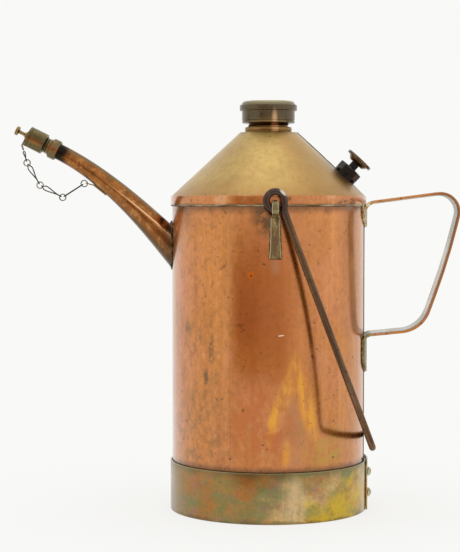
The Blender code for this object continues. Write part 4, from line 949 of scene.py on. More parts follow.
def ear_tin(tone):
    """Tinned brass worn to brown, brightest along its edges."""
    r = Recipe("ear_tin")
    r.worn(tone.tinned, painted(172, 154, 104), painted(70, 54, 28), 0.60, 330.0, 600.0)
    streak = r.noise(220.0, 5, 0.68, (1.0, 1.0, 0.30))
    r.paint(r.ramp(streak, 0.44, 0.58, 0.0, 0.85), (114, 90, 60))
    r.paint(r.ramp(streak, 0.44, 0.34, 0.0, 0.7), (206, 194, 150))
    r.mottled((142, 140, 96), 0.5, 0.64, 0.6, 154.0, 5, 0.65, (1.0, 1.0, 0.5), (0.4, 0.2, 0.6))
    edge = r.ramp(r.math("ABSOLUTE", r.mark("across")), 0.80, 1.00, 0.0, 0.8)
    r.paint(r.times(edge, r.ramp(streak, 0.40, 0.54)), (216, 206, 164))
    r.oiled(0.5)
    dents = r.bump(r.noise(572.0, 4, 0.6), 0.0003, 0.6)
    return r.done(r.sheen(220.0, 0.2, 0.36), dents, tone.tinned)


def wire_finish(name, clean, dull):
    r = Recipe(name)
    r.shade = r.mix(r.ramp(r.noise(200.0, 4), 0.36, 0.62), clean, dull)
    return r.done(r.sheen(180.0, 0.2, 0.36, 3), None, clean)


def solder_finish(name, clean, dark, grain=260.0):
    r = Recipe(name)
    r.shade = r.mix(r.ramp(r.noise(grain, 5, 0.65), 0.36, 0.62), clean, dark)
    return r.done(r.sheen(200.0, 0.32, 0.52, 3), r.bump(r.noise(420.0, 4), 0.0004, 0.8), clean)


def leather_finish(tone):
    r = Recipe("oiled_leather", 0.0)
    pores = r.ramp(r.noise(180.0, 4), 0.3, 0.7)
    r.shade = r.mix(pores, tone.leather, darker(tone.leather, 0.45))
    cells = r.node("ShaderNodeTexVoronoi", {"Vector": r.where(), "Scale": 1400.0})
    return r.done(0.85, r.bump(cells.outputs["Distance"], 0.0001, 0.7), tone.leather)


# Pieces


class OILCAN_OT_body(bpy.types.Operator):
    """Rolls the copper body and solders the rim band to its top"""

    bl_idname = "oilcan.body"
    bl_label = "Body and Rim Band"

    def execute(self, context):
        size, tone = settings(context)
        outer = size.body_radius
        wall = hoop(outer - size.body_wall, outer, size.body_foot, size.body_top)
        tube = eased(spun(wall, WIDE_SEGMENTS), 0.0002)
        add_piece("copper_body", tube, body_copper(tone), "can", ["body_shell"])
        shoulder = on_cone(size).shoulder
        face = outer + SEAT_GAP
        low = shoulder - size.rim_height
        band = hoop(face, face + size.rim_sheet, low, shoulder)
        ring = eased(spun(band, WIDE_SEGMENTS), 0.0004, 4)
        add_piece("copper_rim_band", ring, rim_copper(tone), "can", ["rim_band"])
        path = circle(Vector((0, 0, low - 0.0002)), outer + 0.0004, X_AXIS, Y_AXIS, 240)
        grey = solder_finish("rim_solder_grey", tone.solder, painted(98, 86, 60), 40.0)
        add_solder("rim_solder", rolling(path, 0.0003, 0.008), grey, 0.0007, 0.3, True)
        return {"FINISHED"}


class OILCAN_OT_foot(bpy.types.Operator):
    """Wraps the brass strip round the foot and rivets its lap"""

    bl_idname = "oilcan.foot"
    bl_label = "Foot Band and Rivets"

    def execute(self, context):
        size, tone = settings(context)
        face = size.body_radius + SEAT_GAP
        sheet = size.foot_sheet
        start, end, rampway = 12.0, -8.0, 16.0
        sweep = 360 + start - end
        steps = 240
        edge = 0.0003
        rings = []
        for i in range(steps + 1):
            degrees = start - sweep * i / steps
            lap = smooth_step((start - 360 + rampway - degrees) / rampway)
            inner = face + lap * (sheet + SEAT_GAP)
            outer = inner + sheet
            top = size.foot_height + lap * size.foot_lap_rise
            section = [(inner, 0), (outer - edge, 0), (outer, edge), (outer, top / 2)]
            section += upper_edge(outer, top, edge, 3)[::-1] + [(inner, top)]
            a = math.radians(degrees)
            rings.append([Vector((r * math.cos(a), r * math.sin(a), z)) for r, z in section])
        strip = eased(drawn(rings), 0.0001, 1, 60)
        brass = foot_brass(tone)
        add_piece("brass_foot_band", strip, brass, "can", ["foot_band"])
        finish = solder_finish("rivet_tin", painted(214, 208, 184), painted(150, 138, 106))
        seat = face + 2 * sheet + 2 * SEAT_GAP
        head = size.rivet_radius
        shank = 0.0015
        deep = 2 * sheet + SEAT_GAP
        profile = [(0, size.rivet_height), *dome(0, head, 0, size.rivet_height)[1:]]
        profile += [(head - 0.0002, 0), (shank, 0), (shank, -deep), (0, -deep)]
        for name, share in (("lower", 0.315), ("upper", 0.742)):
            place = frame_at((seat, 0, size.foot_height * share), X_AXIS)
            rivet = spun(profile, TINY_SEGMENTS)
            node = f"foot_rivet_{name}"
            add_piece(f"rivet_{name}", rivet, finish, "can", [node], place, 50)
        return {"FINISHED"}


class OILCAN_OT_cone(bpy.types.Operator):
    """Turns the brass cone with its skirt inside the body"""

    bl_idname = "oilcan.cone"
    bl_label = "Brass Cone"

    def execute(self, context):
        size, tone = settings(context)
        at = on_cone(size)
        radius, wall = size.body_radius, size.cone_wall
        skirt = radius - size.body_wall - SEAT_GAP
        skirt_foot = at.foot - 0.009
        hole = size.neck_thread + SEAT_GAP
        shoulder_edge = (radius - 0.0012, at.shoulder - 0.00035)
        inner_foot = at.shoulder - wall / math.cos(at.slant)
        inner_foot += (radius - skirt + wall) * math.tan(at.slant)
        section = [
            (hole, at.top),
            (at.top_radius, at.top),
            *arc(shoulder_edge, 0.0012, 90 - math.degrees(at.slant), 5, 5),
            (radius, at.foot),
            (skirt, at.foot),
            (skirt, skirt_foot),
            (skirt - wall, skirt_foot),
            (skirt - wall, inner_foot),
            (at.top_radius - wall * math.tan(at.slant / 2), at.top - wall),
            (hole, at.top - wall),
        ]
        cone = eased(spun(section, WIDE_SEGMENTS), 0.0005, 3)
        add_piece("brass_cone", cone, cone_brass(tone), "can", ["shoulder_cone"])
        high = Vector((at.top_radius, 0, at.top))
        low = Vector((radius - 0.001, 0, at.shoulder + 0.0004))
        dark = solder_finish("cone_lap_solder", painted(112, 100, 76), painted(66, 58, 42))
        add_solder("cone_lap", evenly([high, low], 0.0015), dark, 0.0009, 0.15)
        return {"FINISHED"}


class OILCAN_OT_filler(bpy.types.Operator):
    """Turns the threaded filler neck and its screw cap"""

    bl_idname = "oilcan.filler"
    bl_label = "Filler Neck and Cap"

    def execute(self, context):
        size, tone = settings(context)
        seat = on_cone(size).top + SEAT_GAP
        collar_top = seat + size.neck_collar_height
        mouth = seat + size.neck_height
        thread, collar = size.neck_thread, size.neck_collar
        root = thread - 0.0008
        bore = thread - 0.002
        spigot_foot = seat - 0.0035
        section = [
            (bore, mouth),
            (root - 0.0004, mouth),
            (root, mouth - 0.0004),
            (root, collar_top),
            (collar - 0.0005, collar_top),
            (collar, collar_top - 0.0005),
            *groove(collar, seat + 0.0012, 0.0004),
            (collar, seat),
            (thread, seat),
            (thread, spigot_foot),
            (bore, spigot_foot),
        ]
        finish = neck_brass()
        tube = eased(spun(section, SMALL_SEGMENTS), 0.00012)
        add_piece("neck_tube", tube, finish, "can", ["filler_neck"])
        turns = (mouth - collar_top - size.neck_pitch) / size.neck_pitch
        ridge = threaded(root, thread, collar_top, turns, size.neck_pitch, SMALL_SEGMENTS)
        add_piece("neck_thread", ridge, finish, "can", (), None, 20)
        foot = collar_top + size.cap_stand
        flange_foot = foot + size.cap_skirt_height
        flange_top = flange_foot + size.cap_flange_height
        gasket = 0.0015
        ceiling = mouth + SEAT_GAP + gasket + SEAT_GAP
        skirt, cap_bore = size.cap_skirt, thread + RUNNING_GAP
        profile = [
            (0, flange_top + size.cap_dome_height),
            *dome(size.cap_crown, size.cap_dome, flange_top, size.cap_dome_height),
            *upper_edge(size.cap_flange, flange_top, 0.0008, 6),
            *lower_edge(size.cap_flange, flange_foot, 0.0008, 6),
            (skirt, flange_foot),
            *groove(skirt, foot + 0.0022, 0.0004),
            (skirt, foot + 0.0004),
            (skirt - 0.0004, foot),
            (cap_bore, foot),
            (cap_bore, ceiling),
            (0, ceiling),
        ]
        cap = eased(spun(profile, SMALL_SEGMENTS), 0.0001, 2, 50)
        # Patches on the cap: a golden-brown band low on the skirt, a painted highlight down the
        # front of the skirt right of the middle, and a painted highlight that makes the crown paler
        # on top.
        wear_and_painted_light = [
            ((144, 116, 66), 0.75, (0.0010, -0.0185, foot), (0.019, 0.03, 0.0052), 0),
            ((214, 172, 128), 0.9, (0.0048, -0.0185, foot + 0.002), (0.0030, 0.03, 0.0110), 0),
            ((186, 176, 138), 1.0, (0.001, -0.006, flange_top + 0.0030), (0.035, 0.04, 0.0050), 0),
        ]
        aged, dark = painted(92, 80, 48), painted(44, 37, 28)
        brown = bronze_finish("filler_cap_bronze", tone.bronze, aged, dark, 0.28, 0.38, wear_and_painted_light)
        add_piece("screw_filler_cap", cap, brown, "filler_cap", ["filler_cap"])
        return {"FINISHED"}


class OILCAN_OT_vent(bpy.types.Operator):
    """Makes the vent's hexagonal boss and its knobbed screw"""

    bl_idname = "oilcan.vent"
    bl_label = "Vent Boss and Screw"

    def execute(self, context):
        size, tone = settings(context)
        place = vent_place(size)
        corner, tall = 0.0095, 0.0084
        nut_foot, stem = 0.0021, 0.0032
        bore = stem + RUNNING_GAP
        hexagon = spun(hoop(bore, corner, nut_foot, tall), 6)
        bmesh.ops.subdivide_edges(hexagon, edges=hexagon.edges, cuts=5, use_grid_fill=True)
        hexagon = eased(hexagon, 0.0006, 3)
        dark, pale = painted(24, 20, 17), painted(44, 37, 30)
        # Painted highlights on the nut: a brown-gold one on its lower face and a grey one along its
        # top rim.
        low_face = place @ Vector((0.0075, -0.0060, 0.0048))
        rim = place @ Vector((-0.0020, -0.0080, tall))
        painted_highlights = [
            ((140, 104, 66), 0.8, low_face, (0.0022, 0.004, 0.0022), 0),
            ((120, 122, 108), 0.8, rim, (0.0042, 0.006, 0.0011), 41.0),
        ]
        skin = (tone.black_bronze, pale, dark, 0.22, 0.34)
        black = bronze_finish("vent_black_bronze", *skin, painted_highlights, painted(166, 138, 92), 0.2)
        add_piece("vent_nut", hexagon, black, "can", ["vent_boss"], place, 50)
        sooty = bronze_finish("vent_soot", *skin, (), dark, 0.2)
        washer_edge, washer_top, washer_foot, bevel = 0.0093, 0.003, -0.0002, 0.0004
        rings = [(bore, washer_top), (washer_edge - bevel, washer_top)]
        rings += [(washer_edge, washer_top - bevel), (washer_edge, washer_foot)]
        rings += [(bore, washer_foot)]
        add_piece("vent_foot", spun(rings, SMALL_SEGMENTS), sooty, "can", (), place)
        collar_foot = tall + 0.0045
        knob_foot = collar_foot + 0.0028
        knob_top = knob_foot + 0.0022
        knob_radius = 0.01065
        profile = [
            (0, knob_top - 0.0002),
            (0.0078, knob_top - 0.0002),
            (0.0082, knob_top),
            *upper_edge(knob_radius, knob_top, 0.0006, 5),
            *lower_edge(knob_radius, knob_foot, 0.0005, 4),
            (0.008, knob_foot),
            (0.008, knob_foot - 0.0006),
            (0.0058, collar_foot),
            (stem + 0.0002, collar_foot),
            (0, collar_foot),
        ]
        stem_top, stem_foot = collar_foot - 0.0001, 0.0036
        shaft = [(0, stem_top), (stem, stem_top), (stem, stem_foot), (0, stem_foot)]
        pin = spun(shaft, TINY_SEGMENTS)
        add_piece("vent_stem", pin, sooty, "vent_screw", (), place)
        clean, aged = painted(126, 104, 66), painted(100, 78, 50)
        brass = bronze_finish("vent_knob_bronze", clean, aged, dark, 0.26, 0.4)
        knob = eased(spun(profile, SMALL_SEGMENTS), 0.0001, 2, 50)
        add_piece("vent_knob", knob, brass, "vent_screw", ["vent_screw"], place)
        return {"FINISHED"}


class OILCAN_OT_spout(bpy.types.Operator):
    """Draws the tapered spout, trims it to the body and fits its threaded tip"""

    bl_idname = "oilcan.spout"
    bl_label = "Spout and Tip"

    stations: IntProperty(name="Stations", description="Rings along the spout", default=72, min=8)

    def above_ridge(self, angle, share):
        """How far a point lies above the ridge, in radians round the tube."""
        above = math.atan2(-math.sin(angle), abs(math.cos(angle)))
        return above - (0.42 - 0.75 * share)

    def ridged(self, centre, radius, up, share):
        """A ring with a soft hammered ridge along each side of the tube."""
        points = []
        height = 0.045 * smooth_step(share * 5) * smooth_step((1 - share) * 2.2)
        for i, p in enumerate(circle(Vector(), radius, Y_AXIS, up, SMALL_SEGMENTS)):
            off = self.above_ridge(math.tau * i / SMALL_SEGMENTS, share)
            points.append(centre + p * (1 + height * math.exp(-((off / 0.30) ** 2))))
        return points

    def trimmed(self, ring, way, face):
        """Points slid along the spout until they lie on the body's face."""
        on_body = []
        for p in ring:
            a = way.x**2 + way.y**2
            b = p.x * way.x + p.y * way.y
            c = p.x**2 + p.y**2 - face**2
            on_body.append(p + way * (-b + math.sqrt(b * b - a * c)) / a)
        return on_body

    def tube(self, size):
        """The spout's mesh, and the ring where it meets the body."""
        face = size.body_radius + SEAT_GAP
        wall, into_tip = 0.0009, 0.0047
        outer, inner = [], []
        for i in range(self.stations + 1):
            centre, way, radius = spout_at(size, i / self.stations)
            up = way.cross(Y_AXIS)
            outer.append(self.ridged(centre, radius, up, i / self.stations))
            inner.append(circle(centre, radius - wall, Y_AXIS, up, SMALL_SEGMENTS))
        root_way, tip_way = spout_at(size, 0)[1], spout_at(size, 1)[1]
        for rings in (outer, inner):
            nearest = [min(math.hypot(p.x, p.y) for p in ring) for ring in rings]
            kept = [ring for ring, near in zip(rings, nearest) if near > face + 0.0004]
            rings[:] = [self.trimmed(rings[0], root_way, face)] + kept
            rings.append([p + tip_way * into_tip for p in rings[-1]])
        rings = outer + inner[::-1] + [outer[0]]
        angles = [math.tau * i / SMALL_SEGMENTS for i in range(SMALL_SEGMENTS)]
        last = len(outer) - 1
        marks = []
        for i in range(len(rings)):
            share = min(i, len(rings) - 1 - i, last) / last
            marks.append([self.above_ridge(angle, share) for angle in angles])
        return drawn(rings, True, marks), outer[0]

    def execute(self, context):
        size, tone = settings(context)
        tube, seam = self.tube(size)
        finish = spout_finish(tone)
        add_piece("copper_spout", tube, finish, "can", ["spout"], None, 60)
        grey = solder_finish("root_solder", painted(120, 112, 84), painted(52, 44, 32))
        add_solder("spout_solder", rolling(seam, 0.0003, 0.006), grey, 0.0009, 0.45, True)
        place = tip_place(size)
        nose = size.spout_tip
        socket = nose + SEAT_GAP
        collar = socket + 0.00135
        root = nose - 0.0005
        bore, shoulder, socket_top = 0.0042, 0.0062, 0.005
        profile = [
            (bore, TIP_TOP),
            (root - 0.0004, TIP_TOP),
            (root, TIP_TOP - 0.0004),
            (root, TIP_COLLAR),
            (shoulder, TIP_COLLAR),
            (shoulder, 0.0066),
            (collar - 0.0003, 0.0062),
            (collar, 0.0056),
            (collar, 0.0009),
            (collar - 0.0006, 0),
            (socket, 0),
            (socket, socket_top),
            (bore, socket_top),
        ]
        clean, dark = painted(112, 98, 66), painted(56, 46, 28)
        # A painted reflection: the collar warmer and redder down the middle of its front than at
        # its sides.
        middle = place @ Vector((0, -collar, 0.004))
        painted_reflections = [((150, 88, 44), 0.85, middle, (0.0038, 0.02, 0.008), -63.3)]
        old = bronze_finish("tip_brass", clean, tone.old_brass, dark, 0.2, 0.32, painted_reflections, None, 0.25)
        turned = eased(spun(profile, SMALL_SEGMENTS), 0.0003, 3, 35)
        add_piece("tip_collar", turned, old, "can", ["spout_tip"], place)
        turns = (TIP_TOP - TIP_COLLAR - TIP_PITCH) / TIP_PITCH
        ridge = threaded(root, nose, TIP_COLLAR + TIP_PITCH * 0.3, turns, TIP_PITCH, 64)
        clean, aged = painted(56, 46, 34), painted(40, 32, 24)
        black = bronze_finish("thread_black", clean, aged, dark, 0.3, 0.45)
        add_piece("tip_thread", ridge, black, "can", (), place, 20)
        return {"FINISHED"}


class OILCAN_OT_spout_cap(bpy.types.Operator):
    """Turns the spout's screw cap and its stud, and bends the chain's swivel"""

    bl_idname = "oilcan.spout_cap"
    bl_label = "Spout Cap, Stud and Swivel"

    def execute(self, context):
        size, tone = settings(context)
        place = tip_place(size)
        outer = spout_cap_radius(size)
        bore = size.spout_tip + RUNNING_GAP
        foot, stem = 0.0114, 0.0013
        hole, pocket = stem + SEAT_GAP, CAP_FACE - 0.0013
        profile = [
            (0, pocket),
            (hole, pocket),
            (hole, CAP_FACE),
            *upper_edge(outer, CAP_FACE, 0.0006, 5),
            *groove(outer, CAP_FACE - 0.0022, 0.0003),
            *lower_edge(outer, foot, 0.0005, 4),
            (bore, foot),
            (bore, CAP_CEILING),
            (0, CAP_CEILING),
        ]
        dark = painted(58, 50, 30)
        # Painted reflections down the cap's front: an orange-brown stripe in the middle and a dark
        # band to its right.
        middle = place @ Vector((-0.0012, -outer, 0.0185))
        deep = place @ Vector((0.0022, -outer, 0.0185))
        painted_reflections = [
            ((160, 104, 52), 0.85, middle, (0.0030, 0.02, 0.0095), -63.3),
            ((78, 56, 26), 0.75, deep, (0.0026, 0.02, 0.0095), -63.3),
        ]
        skin = (tone.old_brass, painted(104, 92, 58), dark, 0.2, 0.32)
        brass = bronze_finish("spout_cap_brass", *skin, painted_reflections, None, 0.25)
        cap = spun(profile, SMALL_SEGMENTS)
        name, slot = "screw_spout_cap", "tarnished_brass"
        add_piece(name, cap, brass, "spout_cap", ["spout_cap"], place)
        level = CAP_FACE + SEAT_GAP
        ring = level + CHAIN_SHEET + SEAT_GAP
        head = CAP_FACE + 0.0074
        profile = [
            (0, head + 0.0025),
            (0.0012, head + 0.0024),
            *upper_edge(0.0035, head + 0.0025, 0.0008, 5),
            *lower_edge(0.0035, head, 0.0008, 5),
            (0.0018, head - 0.0002),
            (stem, head - 0.0008),
            (stem, ring + 0.0014),
            (0.0022, ring + 0.0006),
            (0.0022, ring),
            (stem, ring),
            (stem, CAP_FACE - 0.001),
            (0, CAP_FACE - 0.001),
        ]
        clean, aged = painted(168, 140, 82), painted(128, 98, 56)
        bright = bronze_finish("stud_brass", clean, aged, dark, 0.24, 0.38)
        stud = spun(profile, TINY_SEGMENTS)
        add_piece("cap_stud", stud, bright, "spout_cap", ["spout_cap_stud"], place)
        swivel = self.swivel(level, outer, stem)
        clean, aged = painted(92, 78, 54), painted(66, 54, 40)
        black = bronze_finish("swivel_bronze", clean, aged, dark, 0.3, 0.45)
        name = "bent_chain_swivel"
        add_piece(name, swivel, black, "spout_lift", ["chain_swivel"], place)
        return {"FINISHED"}

    def swivel(self, level, outer, stem):
        """A flat eye and tail cut from sheet with two holes, its tail then bent down."""
        eye, narrow = 0.0034, CHAIN_END
        corner = -outer - 0.0006
        ear = corner - SWIVEL_TAIL + narrow
        start = math.asin(narrow / eye)
        outline = []
        for i in range(29):
            a = -math.pi + start + (math.tau - 2 * start) * i / 28
            outline.append(Vector((eye * math.cos(a), eye * math.sin(a), 0)))
        for cosine, sine in half_turn(math.pi / 2):
            outline.append(Vector((ear + narrow * cosine, narrow * sine, 0)))
        stud_hole = circle(Vector(), stem + SEAT_GAP, X_AXIS, Y_AXIS, 24)
        ring_hole = circle(Vector((ear, 0, 0)), CHAIN_HOLE, X_AXIS, Y_AXIS, 20)
        bend_start, bend_run = corner + 0.0005, 0.001
        cuts = [(Vector((bend_start - bend_run * k / 4, 0, 0)), X_AXIS) for k in range(5)]
        shape = flat_sheet([outline, stud_hole, ring_hole], cuts, CHAIN_SHEET)
        pivot = Vector((corner, 0, CHAIN_SHEET / 2))
        for vert in shape.verts:
            share = smooth_step((bend_start - vert.co.x) / bend_run)
            if share > 0:
                turn = Matrix.Rotation(-SWIVEL_BEND * share, 3, Y_AXIS)
                vert.co = pivot + turn @ (vert.co - pivot)
        bmesh.ops.translate(shape, verts=shape.verts, vec=(0, 0, level))
        return fresh(shape)


class OILCAN_OT_chain(bpy.types.Operator):
    """Bends the chain's rings and twisted links, and the tab that it hangs from"""

    bl_idname = "oilcan.chain"
    bl_label = "Chain and Tab"

    def tab(self, size):
        """Where the tab lies under the spout, and where its ear leaves it."""
        centre, way, radius = spout_at(size, 0.645)
        down = way.cross(Y_AXIS)
        seat = centre + down * (radius + SEAT_GAP)
        root = seat + way * TAB_LENGTH + down * (CHAIN_SHEET / 2)
        rise = math.radians(15)
        ear_way = Vector((-math.cos(rise), 0, math.sin(rise)))
        return SimpleNamespace(
            seat=seat, way=way, down=down, root=root, ear_way=ear_way, run=0.0044, radius=radius
        )

    def hanging(self, size):
        """The four ring centres from the tab to the cap, then the swivel's hole."""
        tab = self.tab(size)
        first = tab.root + tab.ear_way * tab.run - X_AXIS * size.chain_ring
        level = CAP_FACE + SEAT_GAP + CHAIN_SHEET / 2
        corner = Vector((-spout_cap_radius(size) - 0.0006, 0, level))
        back = Vector((math.cos(SWIVEL_BEND), 0, math.sin(SWIVEL_BEND)))
        last = tip_place(size) @ (corner - back * (SWIVEL_TAIL - CHAIN_END))
        span = last - first
        fall = Vector((-span.z, 0, span.x))
        points = [first]
        for along, drop in zip((0.169, 0.533, 0.849), (0.322, 0.331, 0.1485)):
            points.append(first + span * along + fall * drop)
        return points + [last]

    def link(self, size, start, end, degrees, on_ring):
        """A long wire loop between two centres, turned about its length towards its far end."""
        way = (end - start).normalized()
        wire_radius = size.chain_wire
        inset = size.chain_ring - 2 * wire_radius - SEAT_GAP
        near = start + way * inset
        length = (end - near).length
        length -= inset if on_ring else CHAIN_END + RUNNING_GAP + wire_radius
        side = way.cross(Y_AXIS)
        half = 0.0016
        straight = length - 2 * half
        loop = [(length - half + half * sine, half * cosine) for cosine, sine in half_turn()]
        loop += [(length - half - straight * i / 18, -half) for i in range(1, 18)]
        loop += [(length - along, -across) for along, across in loop]
        points = []
        for along, across in loop:
            share = along / length
            ramp = share / 1.56 if share < 0.78 else 1 - (1 - share) / 0.44
            turn = math.radians(degrees) * smooth_step(ramp)
            lean = math.cos(turn) * Y_AXIS + math.sin(turn) * side
            width = 0.62 + 0.38 * smooth_step(share / 0.8) if on_ring else 0.8 - 0.25 * share
            points.append(near + way * along + across * width * lean)
        return points

    def execute(self, context):
        size, tone = settings(context)
        bright = wire_finish("nickel_ring_wire", tone.wire, painted(104, 98, 84))
        dull = wire_finish("dark_link_wire", painted(104, 100, 82), painted(48, 46, 36))
        points = self.hanging(size)
        turns = (90, 180, 180, 0)
        for i in range(4):
            number = 4 - i
            ring = circle(points[i], size.chain_ring, X_AXIS, Z_AXIS, 40)
            link = self.link(size, points[i], points[i + 1], turns[number - 1], number > 1)
            for kind, path, finish in (("ring", ring, bright), ("link", link, dull)):
                bent = wire(path, size.chain_wire, 3, True)
                name, node = f"wire_{kind}_{number}", f"chain_{kind}_{number}"
                add_piece(name, bent, finish, f"chain_{number}", [node])
        dark = painted(52, 42, 28)
        old = bronze_finish("tab_brass", tone.old_brass, painted(96, 74, 46), dark, 0.28, 0.42)
        add_piece("bent_chain_tab", self.strip(size), old, "can", ["chain_tab"])
        return {"FINISHED"}

    def strip(self, size):
        """The tab: a strip laid to the tube's underside, then a rounded ear with a hole."""
        tab = self.tab(size)
        half = 0.0024
        reach = -2 * TAB_LENGTH
        outline = [Vector((reach * (1 - i / 12), -half, 0)) for i in range(13)]
        for cosine, sine in half_turn(-math.pi / 2):
            outline.append(Vector((tab.run + CHAIN_END * cosine, CHAIN_END * sine, 0)))
        outline += [Vector((reach * i / 12, half, 0)) for i in range(13)]
        hole = circle(Vector((tab.run, 0, 0)), CHAIN_HOLE, X_AXIS, Y_AXIS, 20)
        cuts = [(Vector((0.0002 * k - 0.0004, 0, 0)), X_AXIS) for k in range(5)]
        cuts += [(Vector((0, half * k / 3, 0)), Y_AXIS) for k in (-2, -1, 0, 1, 2)]
        shape = flat_sheet([outline, hole], cuts, CHAIN_SHEET)
        up = tab.ear_way.cross(Y_AXIS)
        for vert in shape.verts:
            along, across, deep = vert.co
            on_ear = smooth_step((along + 0.0004) / 0.0008)
            wrap = tab.radius - math.sqrt(max(tab.radius**2 - across**2, 0))
            flat = tab.seat + tab.way * (TAB_LENGTH + along) + Y_AXIS * across
            flat += tab.down * (deep - wrap)
            bent = tab.root + tab.ear_way * along + Y_AXIS * across + up * (deep - CHAIN_SHEET / 2)
            vert.co = flat.lerp(bent, on_ear)
        return fresh(shape)


class OILCAN_OT_handle(bpy.types.Operator):
    """Sweeps the strap handle along its bends and spreads its soldered feet"""

    bl_idname = "oilcan.handle"
    bl_label = "Strap Handle"

    def path(self, size):
        face = size.body_radius + SEAT_GAP + FOOT_ROLL
        upper = on_cone(size).shoulder - UPPER_BEND_DROP
        grip_top = Vector((size.body_radius + 0.0733, 0, upper + 0.0095))
        grip_low = Vector((size.body_radius + 0.0421, 0, LOWER_BEND + 0.0042))
        corners = [
            Vector((face, 0, LOWER_BEND - LOWER_FOOT)),
            Vector((face, 0, LOWER_BEND)),
            grip_low,
            (grip_top + grip_low) / 2 + X_AXIS * 0.003,
            grip_top,
            Vector((face, 0, upper)),
            Vector((face, 0, upper - UPPER_FOOT)),
        ]
        bent = rounded_path(corners, [0.004, 0.023, 0.5, 0.0135, 0.007], 40)
        lower_foot = self.foot(bent[0], bent[1])
        upper_foot = self.foot(bent[-1], bent[-2])[::-1]
        return lower_foot + evenly(bent[1:-1], 0.002) + upper_foot

    def foot(self, tip, root):
        """Path points along a foot, closest together at its rounded tip."""
        return [tip + (root - tip) * crowded(i, 18) for i in range(18)]

    def section(self, half_width, roll, half_sheet):
        """The strap's (across, thickness) points: two rolled edges with a thin web between."""
        start = math.asin(half_sheet / roll)
        web_edge = half_width - roll - roll * math.cos(start)
        points = []
        for side in (1, -1):
            for i in range(13):
                a = start - math.pi + (math.tau - 2 * start) * i / 12
                across = half_width - roll + roll * math.cos(a)
                points.append((side * across, side * roll * math.sin(a)))
            for i in range(1, 12):
                points.append((side * web_edge * (1 - 2 * i / 12), side * half_sheet))
        return points

    def strap(self, size):
        path = self.path(size)
        runs = [0]
        for a, b in zip(path, path[1:]):
            runs.append(runs[-1] + (b - a).length)
        rings, marks = [], []
        middle = Vector((size.body_radius + 0.030, 0, 0.185))
        for centre, way, done in zip(path, directions(path), runs):
            normal = way.cross(Y_AXIS)
            inward = 1 if normal.dot(middle - centre) > 0 else -1
            low = done < runs[-1] / 2
            run = done if low else runs[-1] - done
            foot, bend = (LOWER_FOOT, 0.004) if low else (UPPER_FOOT, 0.007)
            off_body = smooth_step((run - foot + bend) / (2 * bend))
            foot_half = 0.004 + 0.015 * rounding(run / FOOT_TIP)
            half_width = between(foot_half, size.strap_half_width, off_body)
            roll = between(FOOT_ROLL, size.strap_roll, off_body)
            section = self.section(half_width, roll, between(0.000765, 0.00105, off_body))
            marks.append([inward * deep / roll for across, deep in section])
            ring = []
            for across, deep in section:
                wrap = centre.x - math.sqrt(centre.x**2 - across**2)
                down = X_AXIS * wrap * (1 - off_body)
                ring.append(centre + Y_AXIS * across + normal * deep - down)
            rings.append(ring)
        return drawn(rings, False, marks)

    def outline(self, size, root, tip):
        """Points round a foot on the body, down one edge, round the tip and back up."""
        face = size.body_radius + 0.0004
        down = 1 if root > tip else -1
        side = []
        for i in range(25):
            run = crowded(i, 24) * abs(root - tip)
            half = 0.0004 + 0.0192 * rounding(run / FOOT_TIP)
            side.append((half, tip + down * (run - 0.0003)))
        points = [(half, z) for half, z in reversed(side)] + [(-half, z) for half, z in side]
        return [Vector((math.sqrt(face**2 - half**2), half, z)) for half, z in points]

    def execute(self, context):
        size, tone = settings(context)
        strap = self.strap(size)
        copper = handle_finish(tone)
        add_piece("copper_strap", strap, copper, "can", ["handle_strap"])
        gold = solder_finish("upper_foot_solder", painted(224, 204, 160), painted(140, 110, 70))
        dull = solder_finish("lower_foot_solder", painted(152, 136, 88), painted(112, 96, 62))
        upper = on_cone(size).shoulder - UPPER_BEND_DROP
        for name, root, tip, width, metal in (
            ("upper", upper + 0.0035, upper - UPPER_FOOT, 0.0013, gold),
            ("lower", LOWER_BEND - 0.0024, LOWER_BEND - LOWER_FOOT, 0.0007, dull),
        ):
            run = rolling(self.outline(size, root, tip), 0.0003, 0.004)
            add_solder(f"{name}_foot_solder", run, metal, width, 0.5)
        return {"FINISHED"}


class OILCAN_OT_bail(bpy.types.Operator):
    """Bends the bail from one iron wire with an eye at each end"""

    bl_idname = "oilcan.bail"
    bl_label = "Wire Bail"

    def execute(self, context):
        size, tone = settings(context)
        eye, radius = size.bail_eye, size.bail_wire
        sweep = math.tau - math.acos((eye - radius - SEAT_GAP) / (eye + radius))
        face = size.body_radius + SEAT_GAP
        plane_y = face + size.rim_sheet + SEAT_GAP + size.ear_sheet + RUNNING_GAP + radius
        plane = Y_AXIS * -plane_y
        half = []
        for i in range(72):
            a = BAIL_LEAD + sweep * (1 - i / 72)
            half.append(plane + eye * (math.cos(a) * X_AXIS + math.sin(a) * Z_AXIS))
        out = eye * (math.cos(BAIL_LEAD) * X_AXIS + math.sin(BAIL_LEAD) * Z_AXIS)
        way = math.sin(BAIL_LEAD) * X_AXIS - math.cos(BAIL_LEAD) * Z_AXIS
        offset = eye / 2
        lead = (offset - out.x) / way.x
        bar = Vector((offset, 0, -size.bail_reach))
        corners = [plane + out, plane + out + way * lead, plane + bar, bar]
        half += evenly(rounded_path(corners, [0.008, 0.0055], 36)[:-1], 0.006)
        whole = half + [Vector((p.x, -p.y, p.z)) for p in reversed(half)]
        swing = math.hypot(size.bail_reach, offset)
        lean = math.asin((face + radius - PIVOT_OFFSET) / swing)
        lean -= math.atan2(offset, size.bail_reach)
        pivot = Matrix.Translation((PIVOT_OFFSET, 0, size.body_top - PIVOT_DROP))
        place = pivot @ Matrix.Rotation(-lean, 4, Y_AXIS)
        bent = wire(whole, radius, 8, False)
        add_piece("iron_bail", bent, iron_finish(tone), "bail", ["bail"], place, 50)
        return {"FINISHED"}


